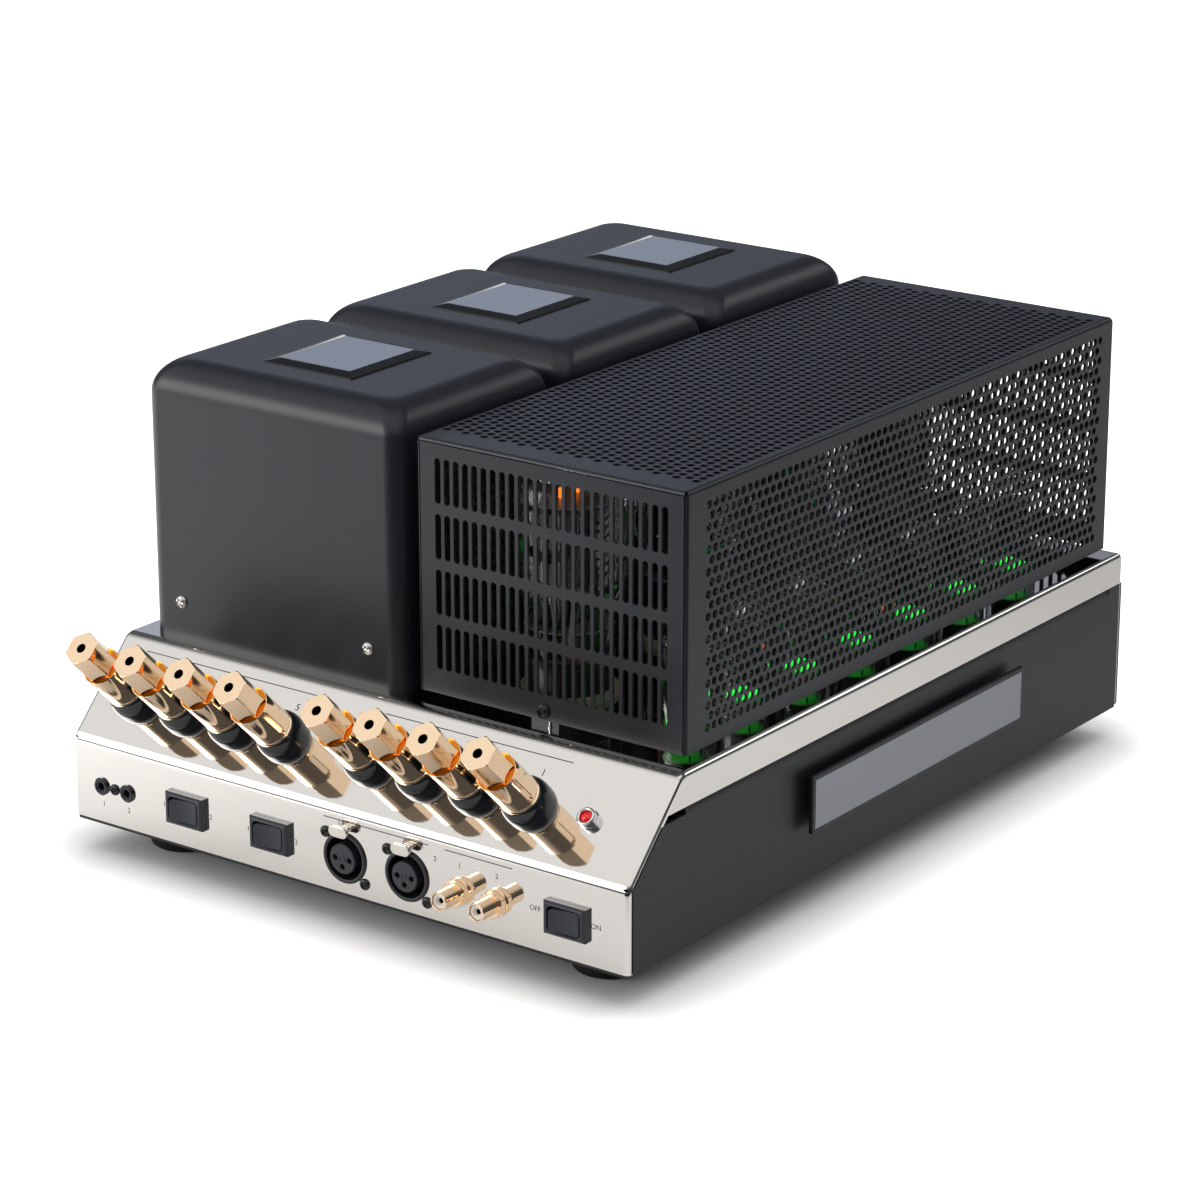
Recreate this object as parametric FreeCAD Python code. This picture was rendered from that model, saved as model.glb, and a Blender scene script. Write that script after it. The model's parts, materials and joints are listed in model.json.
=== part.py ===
import FreeCAD, Part
import math
import os
from FreeCAD import Placement, Rotation, Vector

os.makedirs("parts", exist_ok=True)

# Chassis, in millimetres: x runs back from the connector panel, y from the nameplate side, z up
chassis_length = 395.0
chassis_width = 300.0
panel_height = 37.0
deck_height = 75.0
slope_depth = 36.5
sheet = 1.5
panel_overhang = 4.0
bend_radius = 3.0
least_radius = 0.3
sewing_tolerance = 1e-6
edge_radius = 1.5
skirt_height = 14.6
side_plate = 2.0
plate_gap = 0.3
plate_notch = 2.9
plate_notch_reach = 3.0
cover_thickness = 1.8
cover_inset = 1.0
cover_slot_length = 60.0
cover_slot_width = 5.0
cover_slot_pitch = 14.0
cover_slot_count = 9

# Round rubber feet
foot_height = 14.2
foot_radius = 16.0
foot_edge = 3.0
foot_recess_radius = 5.0
foot_recess_depth = 8.0
foot_from_panel = 34.0
foot_from_side = 34.0

# Raised plaque on the nameplate side
plaque_length = 172.0
plaque_height = 26.0
plaque_thickness = 2.2
plaque_standoff = 3.4
plaque_centre_x = 210.0
plaque_centre_z = 35.0
plaque_stud_radius = 2.5
plaque_stud_inset = 20.0
plaque_studs = 4

# Transformer cans, each with a glass plate on top and a wound core inside
can_count = 3
can_length = 107.2
can_width = 141.0
can_height = 124.2
can_wall = 1.2
can_gap = 9.2
can_corner = 8.0
can_top_edge = 14.7
can_first_x = 43.6
can_side_margin = 9.2
can_plate_length = 54.5
can_plate_width = 49.5
can_plate_thickness = 3.0
can_plate_bevel = 1.4
can_screw_height = 16.8
can_screw_spread = 106.0
core_depth = 45.0
core_width = 114.0
core_height = 95.0
core_leg = 38.0
coil_wall = 16.0
coil_corner = 8.0
coil_fit = 0.3

# Ventilated cage over the tubes, filling the deck beside the cans
cage_length = 340.0
cage_height = 111.0
cage_to_cans = 6.7
cage_sheet = 1.2
cage_edge = 1.1
cage_first_x = 47.6
cage_side_margin = 6.1
cage_lift = 3.0
cage_seam = 0.2
slot_rows = 4
slot_width = 3.2
slot_pitch = 4.8
slot_bar = 4.2
slot_top_margin = 7.7
slot_bottom_margin = 10.7
slot_end_margin = 9.4
hole_radius = 4.0
hole_pitch = 11.0
hole_margin = 12.0
bracket_width = 14.0
bracket_sheet = 1.5
bracket_height = 12.0
bracket_foot = 12.0
cage_screw_lift = 7.0
cage_screw_offset = 3.3
cage_screw_head_radius = 3.4
cage_screw_head = 2.6

# Tubes: a row of signal tubes beside the nameplate side and a row of output tubes behind it
signal_count = 7
signal_pitch = 43.6
signal_first_x = 77.0
signal_y = 28.0
signal_radius = 10.8
signal_height = 46.0
power_count = 4
power_pitch = 85.0
power_first_x = 90.0
power_from_rear = 47.1
power_radius = 25.0
power_headroom = 5.8
power_shoulder = 30.0
power_neck_radius = 17.5
power_base_radius = 19.5
power_base_height = 16.0
dome_share = 0.9
dome_steps = 6
small_dome_share = 0.8
glass_wall = 1.2
electrode_gap = 6.0
stalk_radius = 8.75
anode_length_share = 1.15
anode_width_share = 0.8
socket_flange = 3.0
socket_depth = 15.0
small_socket_radius = 11.5
large_socket_radius = 21.0
socket_step = 2.0

# Speaker binding posts, square to the sloped face
post_length = 46.4
post_near_margin = 62.2
post_far_margin = 23.5
bank_gap_share = 1.7086
post_up_slope = 24.1
posts_per_bank = 4
post_hex_flats = 14.0
post_hex_length = 16.4
post_hex_chamfer = 0.6
post_barrel_radius = 8.9
post_insulator_height = 8.5
post_insulator_base = 11.1
post_insulator_band = 2.6
post_insulator_top = 9.2
post_spigot_radius = 4.0
post_stem_radius = 2.5
post_stem_reach = 18.0
post_stem_tail = 14.0
post_nut_radius = 5.0
post_nut_height = 3.0
banana_radius = 2.05
turning_fit = 0.06
small_gap = 0.2

# Rocker switches on the panel, each tilting about an upright pin. A share is a place across the panel.
rocker_share = {"mode": 0.78, "input": 0.6207, "power": 0.101}
rocker_z = 17.0
bezel_length = 21.0
bezel_height = 14.6
bezel_thickness = 3.2
bezel_chamfer = 1.0
window_length = 16.2
window_height = 10.8
switch_length = 19.0
switch_height = 12.8
switch_depth = 19.0
window_depth = 9.0
rocker_length = 14.0
rocker_height = 10.2
rocker_front = 4.0
rocker_dip = 1.0
rocker_back = 5.0
rocker_pivot = 1.5
rocker_pin_radius = 1.2
rocker_pin_reach = 0.8
rocker_tilt = 8.0
terminal_length = 8.0
terminal_width = 4.8
terminal_sheet = 0.8
terminal_spread = 12.6

# Balanced input sockets, each with a sprung release tab above it
xlr_shares = (0.376, 0.4867)
xlr_z = 16.1
xlr_rim_radius = 11.4
xlr_rim = 1.0
xlr_body_radius = 11.0
xlr_bore_radius = 9.5
xlr_depth = 21.0
xlr_bore_depth = 17.0
xlr_flange = 2.0
xlr_flange_width = 26.0
xlr_flange_height = 27.0
xlr_insert_radius = 6.7
xlr_insert_reach = 2.2
xlr_pin_radius = 1.2
xlr_pin_spread = 7.5
xlr_pin_drop = 3.5
xlr_screw_up = 9.5
xlr_screw_along = 10.4
latch_tab_width = 9.9
latch_tab_height = 5.0
latch_stem_width = 4.4
latch_sheet = 1.6
latch_rise = 12.9
latch_tail = 7.0
latch_travel = 2.0
latch_clearance = 0.4
latch_reach = xlr_rim + latch_clearance + latch_travel + latch_sheet

# Unbalanced inputs, control jacks and pilot lamp
rca_shares = (0.2217, 0.286)
rca_z = 15.6
rca_radius = 4.15
rca_length = 13.6
rca_flange_radius = 5.4
rca_flange = 1.2
rca_nut_flats = 11.0
rca_nut_height = 2.6
rca_washer_radius = 6.2
rca_washer = 0.8
rca_tail_radius = 3.1
rca_tail = 9.0
rca_socket_radius = 1.65
rca_cup_radius = 3.3
rca_cup_depth = 4.0
jack_shares = (0.895, 0.945)
jack_z = 16.6
jack_radius = 4.0
jack_reach = 1.4
jack_neck_radius = 3.0
jack_bore_radius = 1.8
jack_body = 11.0
jack_depth = 14.0
lamp_share = 0.105
lamp_radius = 4.1
lamp_reach = 4.4
lamp_neck_radius = 3.4
lamp_lens_radius = 2.5
lamp_land = 0.6
lamp_dome = 1.8
lamp_tail = 9.0

# Mains inlet and fuse holder on the far end
inlet_y = 70.0
inlet_z = 30.0
inlet_flange_length = 50.0
inlet_flange_height = 24.0
inlet_flange = 2.0
inlet_body_length = 27.4
inlet_body_height = 19.6
inlet_depth = 21.0
inlet_well_length = 24.4
inlet_well_height = 16.6
inlet_well_depth = 16.5
inlet_blade_reach = 11.5
inlet_blade_width = 4.0
inlet_blade_sheet = 2.0
inlet_blade_spread = 7.0
inlet_blade_rise = 2.0
inlet_screw_spread = 40.0
fuse_y = 120.0
fuse_flange_radius = 9.0
fuse_flange = 1.6
fuse_body_radius = 7.4
fuse_depth = 32.0
fuse_cap_radius = 6.0
fuse_cap_reach = 2.4
fuse_cap_depth = 4.0
fuse_bore_radius = 3.6
fuse_link_length = 20.0
fuse_slot_width = 1.6
fuse_slot_depth = 1.2

# Circuit board hung under the deck
board_length = 300.0
board_width = 130.0
board_thickness = 1.6
board_drop = 24.0
board_first_x = 62.0
board_first_y = 130.0
board_spacer_radius = 4.0
board_inset = 8.0

# Screws
screw_radius = 1.5
screw_head_radius = 2.6
screw_head = 1.8
screw_head_edge = 1.1
screw_length = 5.0
screw_fit = 0.1
hole_fit = 0.15

quarter_weight = math.sqrt(0.5)
slope_rise = deck_height - panel_height
slope_length = math.hypot(slope_depth, slope_rise)
slope_tilt = math.degrees(math.atan2(slope_rise, slope_depth))
skirt_bottom = deck_height - skirt_height
cage_width = chassis_width - can_side_margin - can_width - cage_to_cans - cage_side_margin
slot_length = (cage_height - slot_top_margin - slot_bottom_margin - (slot_rows - 1) * slot_bar) / slot_rows
power_y = cage_side_margin + cage_width - power_from_rear
power_height = cage_height + cage_lift - cage_sheet - power_headroom - socket_flange - power_base_height
post_span = chassis_width - post_near_margin - post_far_margin
post_pitch = post_span / (2 * (posts_per_bank - 1) + bank_gap_share)
post_top = post_insulator_height + small_gap
rocker_y = {name: share * chassis_width for name, share in rocker_share.items()}
xlr_y = [share * chassis_width for share in xlr_shares]
rca_y = [share * chassis_width for share in rca_shares]
jack_y = [share * chassis_width for share in jack_shares]
lamp_y = lamp_share * chassis_width
over = 1.0

nodes = {}


def block(low, high):
    """A box between two corners."""
    size = Vector(*high) - Vector(*low)
    return Part.makeBox(size.x, size.y, size.z, Vector(*low))


def rod(radius, low, high, x=0.0, y=0.0):
    """A round bar along z."""
    return Part.makeCylinder(radius, high - low, Vector(x, y, low))


def centred(length_x, length_y, low, high, x=0.0, y=0.0):
    """A box centred on a point of the xy plane."""
    return block((x - length_x / 2, y - length_y / 2, low), (x + length_x / 2, y + length_y / 2, high))


def hexagon(flats, low, high):
    """A hexagonal bar along z with two corners on the x axis."""
    corner = flats / math.sqrt(3)
    angles = [math.radians(60 * step) for step in range(7)]
    points = [Vector(corner * math.cos(a), corner * math.sin(a), low) for a in angles]
    return Part.Face(Part.makePolygon(points)).extrude(Vector(0, 0, high - low))


def revolved(points):
    """A solid turned about z from an outline of (radius, height) points."""
    outline = [Vector(r, 0, z) for r, z in points]
    face = Part.Face(Part.makePolygon(outline + outline[:1]))
    return face.revolve(Vector(), Vector(0, 0, 1), 360)


def edges_where(shape, test):
    """The edges whose ends both pass a test."""
    return [e for e in shape.Edges if e.Vertexes and all(test(v.Point) for v in e.Vertexes)]


def near(a, b):
    return abs(a - b) < 1e-6


def joined(shapes):
    """Shapes that touch or overlap, as one clean solid."""
    return shapes[0].fuse(shapes[1:]).removeSplitter()


def on_face(shape, tilt, x, y, z):
    """Stand a shape made along +z on a face of the chassis, its +x up the face."""
    return shape.transformed(Placement(Vector(x, y, z), Rotation(Vector(0, 1, 0), -tilt)).toMatrix())


def on_panel(shape, y, z):
    return on_face(shape, 90, 0, y, z)


def on_back(shape, y, z):
    return on_face(shape, -90, chassis_length, y, z)


def on_slope(shape, y):
    along = post_up_slope / slope_length
    return on_face(shape, slope_tilt, slope_depth * along, y, panel_height + slope_rise * along)


def post_places():
    """The y of each binding post, bank by bank."""
    bank_step = (posts_per_bank - 1 + bank_gap_share) * post_pitch
    return [post_near_margin + bank * bank_step + place * post_pitch
            for bank in range(2) for place in range(posts_per_bank)]


def signal_places():
    return [(signal_first_x + i * signal_pitch, signal_y) for i in range(signal_count)]


def power_places():
    return [(power_first_x + i * power_pitch, power_y) for i in range(power_count)]


def can_start(index):
    return can_first_x + index * (can_length + can_gap)


def can_centre(index):
    return can_start(index) + can_length / 2, chassis_width - can_side_margin - can_width / 2


def xlr_screw_places():
    """Panel places (y, z) of the two screws of each balanced socket."""
    return [(y + side * xlr_screw_along, xlr_z + side * xlr_screw_up) for y in xlr_y for side in (-1, 1)]


def jack_screw_place():
    return sum(jack_y) / 2, jack_z


def rounded_path(points, radius):
    """Edges of an open path with its inner corners rounded."""
    edges, start = [], points[0]
    for before, corner, after in zip(points, points[1:], points[2:]):
        back, ahead = (before - corner).normalize(), (after - corner).normalize()
        half = back.getAngle(ahead) / 2
        setback = radius / math.tan(half)
        middle = corner + (back + ahead).normalize() * (radius / math.sin(half) - radius)
        edges.append(Part.makeLine(start, corner + back * setback))
        edges.append(Part.Arc(corner + back * setback, middle, corner + ahead * setback).toShape())
        start = corner + ahead * setback
    return edges + [Part.makeLine(start, points[-1])]


def chassis_outline(inset, bottom):
    """The side view of the chassis, taken in from the panel, slope, deck and far end."""
    deck_bend = slope_depth + inset * math.tan(math.radians(slope_tilt / 2))
    low_bend = panel_height - inset * math.tan(math.radians((90 - slope_tilt) / 2))
    far = chassis_length - inset
    points = [Vector(inset, 0, bottom), Vector(inset, 0, low_bend), Vector(deck_bend, 0, deck_height - inset),
              Vector(far, 0, deck_height - inset), Vector(far, 0, bottom)]
    edges = rounded_path(points, max(bend_radius - inset, least_radius))
    return Part.Face(Part.Wire(edges + [Part.makeLine(points[-1], points[0])]))


def slab(face, low, high):
    """A face of the xz plane given a thickness between two y values."""
    face = face.copy()
    face.translate(Vector(0, low, 0))
    return face.extrude(Vector(0, high - low, 0))


def below_skirt(inset, low, high, bottom, top, far):
    """The chassis outline between two heights, ending short of the far end."""
    window = block((0, low - over, bottom), (far, high + over, top))
    return slab(chassis_outline(inset, bottom - over), low, high).common(window)


def shell_openings():
    """What the panel, the slope and the deck are pierced with."""
    cuts = []
    for y in rocker_y.values():
        opening = centred(switch_height + 2 * hole_fit, switch_length + 2 * hole_fit, -sheet - over, over)
        cuts.append(on_panel(opening, y, rocker_z))
    for y in xlr_y:
        slot = centred(latch_sheet + 2 * small_gap, latch_stem_width + 2 * small_gap, -sheet - over, over,
                       latch_rise)
        cuts.append(on_panel(slot, y, xlr_z))
    round_holes = [(y, xlr_z, xlr_body_radius + hole_fit) for y in xlr_y]
    round_holes += [(y, rca_z, rca_tail_radius + hole_fit) for y in rca_y]
    round_holes += [(y, jack_z, jack_neck_radius + hole_fit) for y in jack_y]
    round_holes += [(y, z, screw_radius + screw_fit) for y, z in xlr_screw_places() + [jack_screw_place()]]
    cuts += [on_panel(rod(radius, -sheet - over, over), y, z) for y, z, radius in round_holes]
    cuts += [on_slope(rod(post_spigot_radius + hole_fit, -sheet - over, over), y) for y in post_places()]
    cuts.append(on_slope(rod(lamp_neck_radius + hole_fit, -sheet - over, over), lamp_y))
    for places, radius in ((signal_places(), small_socket_radius), (power_places(), large_socket_radius)):
        seat = radius - socket_step + hole_fit
        cuts += [rod(seat, deck_height - sheet - over, deck_height + over, x, y) for x, y in places]
    return cuts


def make_shell():
    """Polished shell: the folded panel and slope, and the deck with its skirts, which meet behind the bend."""
    body = slab(chassis_outline(0, 0), 0, chassis_width)
    sides = [edges_where(body, lambda p: near(p.y, side)) for side in (0, chassis_width)]
    rim = [e for side in sides for e in side if not all(near(v.Z, 0) for v in e.Vertexes)]
    body = body.makeFillet(edge_radius, rim)
    inside = slab(chassis_outline(sheet, -over), sheet, chassis_width - sheet)
    far = chassis_length + over
    lower = below_skirt(sheet, -over, chassis_width + over, -over, skirt_bottom, far)
    end = block((chassis_length - sheet - over, -over, -over), (far, chassis_width + over, skirt_bottom))
    folded = body.cut([inside, lower, end] + shell_openings())
    front = block((-over, -over, -over), (slope_depth + panel_overhang, chassis_width + over, deck_height + over))
    return Part.makeCompound([folded.common(front), folded.cut(front)])


def make_chassis_plates():
    """Black plates that close the chassis below the skirt, and the slotted cover under it."""
    far = chassis_length - side_plate - plate_gap
    top = skirt_bottom - plate_gap
    for name, low in (("front", 0.0), ("rear", chassis_width - side_plate)):
        plate = below_skirt(sheet + plate_gap, low, low + side_plate, 0, top, far)
        notch = block((0, low - over, top - plate_notch),
                      (slope_depth + plate_notch_reach, low + side_plate + over, top + over))
        nodes["side_plate_" + name] = plate.cut(notch)
    back = block((chassis_length - side_plate, plate_gap, 0), (chassis_length, chassis_width - plate_gap, top))
    well = centred(inlet_body_height + 2 * hole_fit, inlet_body_length + 2 * hole_fit, -side_plate - over, over)
    cuts = [on_back(well, inlet_y, inlet_z)]
    cuts.append(on_back(rod(fuse_body_radius + hole_fit, -side_plate - over, over), fuse_y, inlet_z))
    cuts += [on_back(rod(screw_radius + screw_fit, -side_plate - over, over), y, inlet_z)
             for y in inlet_screw_places()]
    nodes["back_panel"] = back.cut(cuts)
    cover = block((cover_inset, cover_inset, -cover_thickness),
                  (chassis_length - cover_inset, chassis_width - cover_inset, 0))
    middle = chassis_length / 2
    slots = []
    for i in range(cover_slot_count):
        x = middle + (i - (cover_slot_count - 1) / 2) * cover_slot_pitch
        slots += [centred(cover_slot_width, cover_slot_length, -cover_thickness - over, over, x, y)
                  for y in (power_y, chassis_width - power_y)]
    nodes["bottom_cover"] = cover.cut(slots)


def inlet_screw_places():
    return [inlet_y - inlet_screw_spread / 2, inlet_y + inlet_screw_spread / 2]


def make_feet():
    """Four rubber feet with a rounded lower edge and a recess for the fixing screw."""
    low = -cover_thickness - foot_height
    foot = rod(foot_radius, low, -cover_thickness)
    foot = foot.makeFillet(foot_edge, edges_where(foot, lambda p: near(p.z, low)))
    foot = foot.cut(rod(foot_recess_radius, low - over, low + foot_recess_depth))
    places = [(x, y) for x in (foot_from_panel, chassis_length - foot_from_panel)
              for y in (foot_from_side, chassis_width - foot_from_side)]
    return Part.makeCompound([foot.translated(Vector(x, y, 0)) for x, y in places])


def make_plaque():
    """A bare bar on four studs, standing off the front plate."""
    low = Vector(plaque_centre_x - plaque_length / 2, -plaque_standoff - plaque_thickness,
                 plaque_centre_z - plaque_height / 2)
    nodes["nameplate_bar"] = Part.makeBox(plaque_length, plaque_thickness, plaque_height, low)
    half = plaque_length / 2 - plaque_stud_inset
    step = 2 * half / (plaque_studs - 1)
    spots = [plaque_centre_x - half + i * step for i in range(plaque_studs)]
    nodes["nameplate_studs"] = Part.makeCompound(
        [Part.makeCylinder(plaque_stud_radius, plaque_standoff, Vector(x, -plaque_standoff, plaque_centre_z),
                           Vector(0, 1, 0)) for x in spots])


def upright_edges(form):
    return [e for e in form.Edges if near(e.Vertexes[0].X, e.Vertexes[1].X)
            and near(e.Vertexes[0].Y, e.Vertexes[1].Y)]


def swept_patch(rails, steps):
    """A smooth face from rails of (x, y, inward x, inward y, weight) and steps of (inward, height, weight)."""
    poles = [[Vector(x + inward_x * reach, y + inward_y * reach, z) for reach, z, _ in steps]
             for x, y, inward_x, inward_y, _ in rails]
    weights = [[rail[-1] * step[-1] for step in steps] for rail in rails]
    patch = Part.BSplineSurface()
    patch.buildFromPolesMultsKnots(poles, [len(rails)] * 2, [len(steps)] * 2, [0, 1], [0, 1], False, False,
                                   len(rails) - 1, len(steps) - 1, weights)
    return patch.toShape()


def can_form(inset):
    """A can taken in by a wall: its upright corners keep their radius as they lean in round the broader top edge."""
    sides = (can_length / 2 - inset, can_width / 2 - inset)
    corner, edge = can_corner - inset, can_top_edge - inset
    top = deck_height + can_height - inset
    shoulder = top - edge
    wall = [(0, deck_height, 1), (0, shoulder, 1)]
    rolled = [(0, shoulder, 1), (0, top, quarter_weight), (edge, top, 1)]
    faces = []
    for turn in range(4):
        x, y = sides[turn % 2], sides[(turn + 1) % 2]
        bend = [(x, y - corner, -1, -1, 1), (x, y, -1, -1, quarter_weight), (x - corner, y, -1, -1, 1)]
        straight = [(x - corner, y, -1, -1, 1), (corner - x, y, 1, -1, 1)]
        faces += [swept_patch(rails, steps).rotate(Vector(), Vector(0, 0, 1), 90 * turn)
                  for rails in (bend, straight) for steps in (wall, rolled)]
    for z, reach in ((deck_height, 0), (top, edge)):
        slab = centred(2 * (sides[0] - reach), 2 * (sides[1] - reach), z, z + corner)
        slab = slab.makeFillet(corner, upright_edges(slab))
        faces += [face for face in slab.Faces if near(face.BoundBox.ZMin, z) and near(face.BoundBox.ZMax, z)]
    shell = Part.makeShell(faces)
    shell.sewShape()
    form = Part.Solid(shell)
    form.fix(sewing_tolerance, sewing_tolerance, sewing_tolerance)
    return form


def screw(head_radius=screw_head_radius, head_height=screw_head):
    """A pan head screw along z with its head on the face."""
    head = rod(head_radius, 0, head_height)
    head = head.makeFillet(screw_head_edge, edges_where(head, lambda p: near(p.z, head_height)))
    return joined([head, rod(screw_radius, -screw_length, 0)])


def can_screw_places():
    """Screws low on the two outermost end walls of the row of cans: x, y, z and outward side."""
    y = can_centre(0)[1]
    ends = ((can_start(0), -1), (can_start(can_count - 1) + can_length, 1))
    return [(x, y + half * can_screw_spread / 2, deck_height + can_screw_height, side)
            for x, side in ends for half in (-1, 1)]


def make_cans():
    """Cans, the glass plates on them, and the wound cores they hide."""
    hollow = can_form(0).cut(can_form(can_wall))
    top = deck_height + can_height
    plate = centred(can_plate_length, can_plate_width, top, top + can_plate_thickness)
    rim = edges_where(plate, lambda p: near(p.z, top + can_plate_thickness))
    plate = plate.makeChamfer(can_plate_bevel, rim)
    yoke = core_leg / 2
    window_y = (core_width - 2 * core_leg) / 2
    window_z = core_height - 2 * yoke
    low = deck_height + yoke
    core = centred(core_depth, core_width, deck_height, deck_height + core_height)
    core = core.cut([centred(core_depth + 2 * over, window_y, low, low + window_z,
                             0, side * (core_leg + window_y) / 2) for side in (-1, 1)])
    hole_x, hole_y = core_depth + 2 * coil_fit, core_leg + 2 * coil_fit
    bottom, ceiling = low + coil_fit, low + window_z - coil_fit
    coil = centred(hole_x + 2 * coil_wall, hole_y + 2 * coil_wall, bottom, ceiling)
    coil = coil.makeFillet(coil_corner, upright_edges(coil))
    coil = coil.cut(centred(hole_x, hole_y, bottom - over, ceiling + over))
    coils = []
    shank = rod(screw_radius + screw_fit, -screw_length, over)
    for i in range(can_count):
        x, y = can_centre(i)
        place = Vector(x, y, 0)
        holes = [on_face(shank, -90 * side, sx, sy, sz) for sx, sy, sz, side in can_screw_places()]
        nodes[f"transformer_can_{i + 1}"] = hollow.translated(place).cut(holes)
        nodes[f"can_plate_{i + 1}"] = plate.translated(place)
        nodes[f"transformer_core_{i + 1}"] = core.translated(place)
        coils.append(coil.translated(place))
    nodes["transformer_windings"] = Part.makeCompound(coils)
    nodes["can_screws"] = Part.makeCompound([on_face(screw(), -90 * side, x, y, z)
                                             for x, y, z, side in can_screw_places()])


def pierced(length, height, openings):
    """A sheet of the cage in the xy plane with its first corner at the origin."""
    corners = [Vector(), Vector(length, 0, 0), Vector(length, height, 0), Vector(0, height, 0), Vector()]
    face = Part.makeFace([Part.makePolygon(corners)] + openings, "Part::FaceMakerBullseye")
    return face.extrude(Vector(0, 0, cage_sheet))


def hole_grid(length, height):
    """Rows of round holes, evenly spaced and centred on a sheet."""
    columns = int((length - 2 * hole_margin) / hole_pitch) + 1
    rows = int((height - 2 * hole_margin) / hole_pitch) + 1
    first_x = (length - (columns - 1) * hole_pitch) / 2
    first_y = (height - (rows - 1) * hole_pitch) / 2
    return [Part.Wire(Part.makeCircle(hole_radius, Vector(first_x + i * hole_pitch, first_y + j * hole_pitch, 0)))
            for i in range(columns) for j in range(rows)]


def slot_wire(x, low):
    """An upright slot with round ends."""
    r, high = slot_width / 2, low + slot_length
    right, left = x + r, x - r
    edges = [Part.makeLine(Vector(right, low + r, 0), Vector(right, high - r, 0)),
             Part.Arc(Vector(right, high - r, 0), Vector(x, high, 0), Vector(left, high - r, 0)).toShape(),
             Part.makeLine(Vector(left, high - r, 0), Vector(left, low + r, 0)),
             Part.Arc(Vector(left, low + r, 0), Vector(x, low, 0), Vector(right, low + r, 0)).toShape()]
    return Part.Wire(edges)


def placed(shape, x_axis, y_axis, z_axis, origin):
    """A flat sheet turned so that its axes lie along three given ones."""
    turn = Rotation(Vector(*x_axis), Vector(*y_axis), Vector(*z_axis), "XYZ")
    return shape.transformed(Placement(Vector(*origin), turn).toMatrix())


def make_cage():
    """Perforated top and sides, with slotted end panels held by a bracket and a screw."""
    x0, x1 = cage_first_x, cage_first_x + cage_length
    y0, y1 = cage_side_margin, cage_side_margin + cage_width
    z0 = deck_height + cage_lift
    z1 = z0 + cage_height
    roof = pierced(cage_length, cage_width, hole_grid(cage_length, cage_width))
    roof = roof.translated(Vector(x0, y0, z1 - cage_sheet))
    long_edges = edges_where(roof, lambda p: near(p.z, z1) and (near(p.y, y0) or near(p.y, y1)))
    long_edges = [e for e in long_edges if near(e.Vertexes[0].Y, e.Vertexes[-1].Y)]
    nodes["cage_top"] = roof.makeFillet(cage_edge, long_edges)
    side_height = cage_height - cage_sheet
    side = pierced(cage_length, side_height, hole_grid(cage_length, side_height))
    upright = ((1, 0, 0), (0, 0, 1), (0, -1, 0))
    nodes["cage_front"] = placed(side, *upright, (x0, y0 + cage_sheet, z0))
    nodes["cage_rear"] = placed(side, *upright, (x0, y1, z0))
    width = cage_width - 2 * (cage_sheet + cage_seam)
    height = side_height - cage_seam
    slot_columns = int((width - 2 * slot_end_margin) / slot_pitch) + 1
    first = (width - (slot_columns - 1) * slot_pitch) / 2
    tops = [cage_height - slot_top_margin - row * (slot_length + slot_bar) for row in range(slot_rows)]
    openings = [slot_wire(first + i * slot_pitch, top - slot_length) for top in tops for i in range(slot_columns)]
    screw_hole = Part.makeCircle(screw_radius + screw_fit,
                                 Vector(width / 2 + cage_screw_offset, cage_screw_lift - cage_lift, 0))
    end = pierced(width, height, openings + [Part.Wire(screw_hole)])
    across = ((0, 1, 0), (0, 0, 1), (1, 0, 0))
    inner = y0 + cage_sheet + cage_seam
    nodes["cage_end_near"] = placed(end, *across, (x0, inner, z0))
    nodes["cage_end_far"] = placed(end, *across, (x1 - cage_sheet, inner, z0))
    nodes["cage_brackets"] = Part.makeCompound(
        [on_face(make_bracket(), -90 * side, x, (y0 + y1) / 2 + cage_screw_offset, deck_height + cage_screw_lift)
         for x, side in ((x0, -1), (x1, 1))])


def make_bracket():
    """A bent foot behind an end panel: outward is +z, and its screw is at the origin."""
    back = -cage_sheet
    leg = centred(bracket_height, bracket_width, back - bracket_sheet, back, bracket_height / 2 - cage_screw_lift)
    foot = centred(bracket_sheet, bracket_width, back - bracket_foot, back, bracket_sheet / 2 - cage_screw_lift)
    return joined([leg, foot]).cut(rod(screw_radius + screw_fit, back - 2 * bracket_sheet, over))


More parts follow.
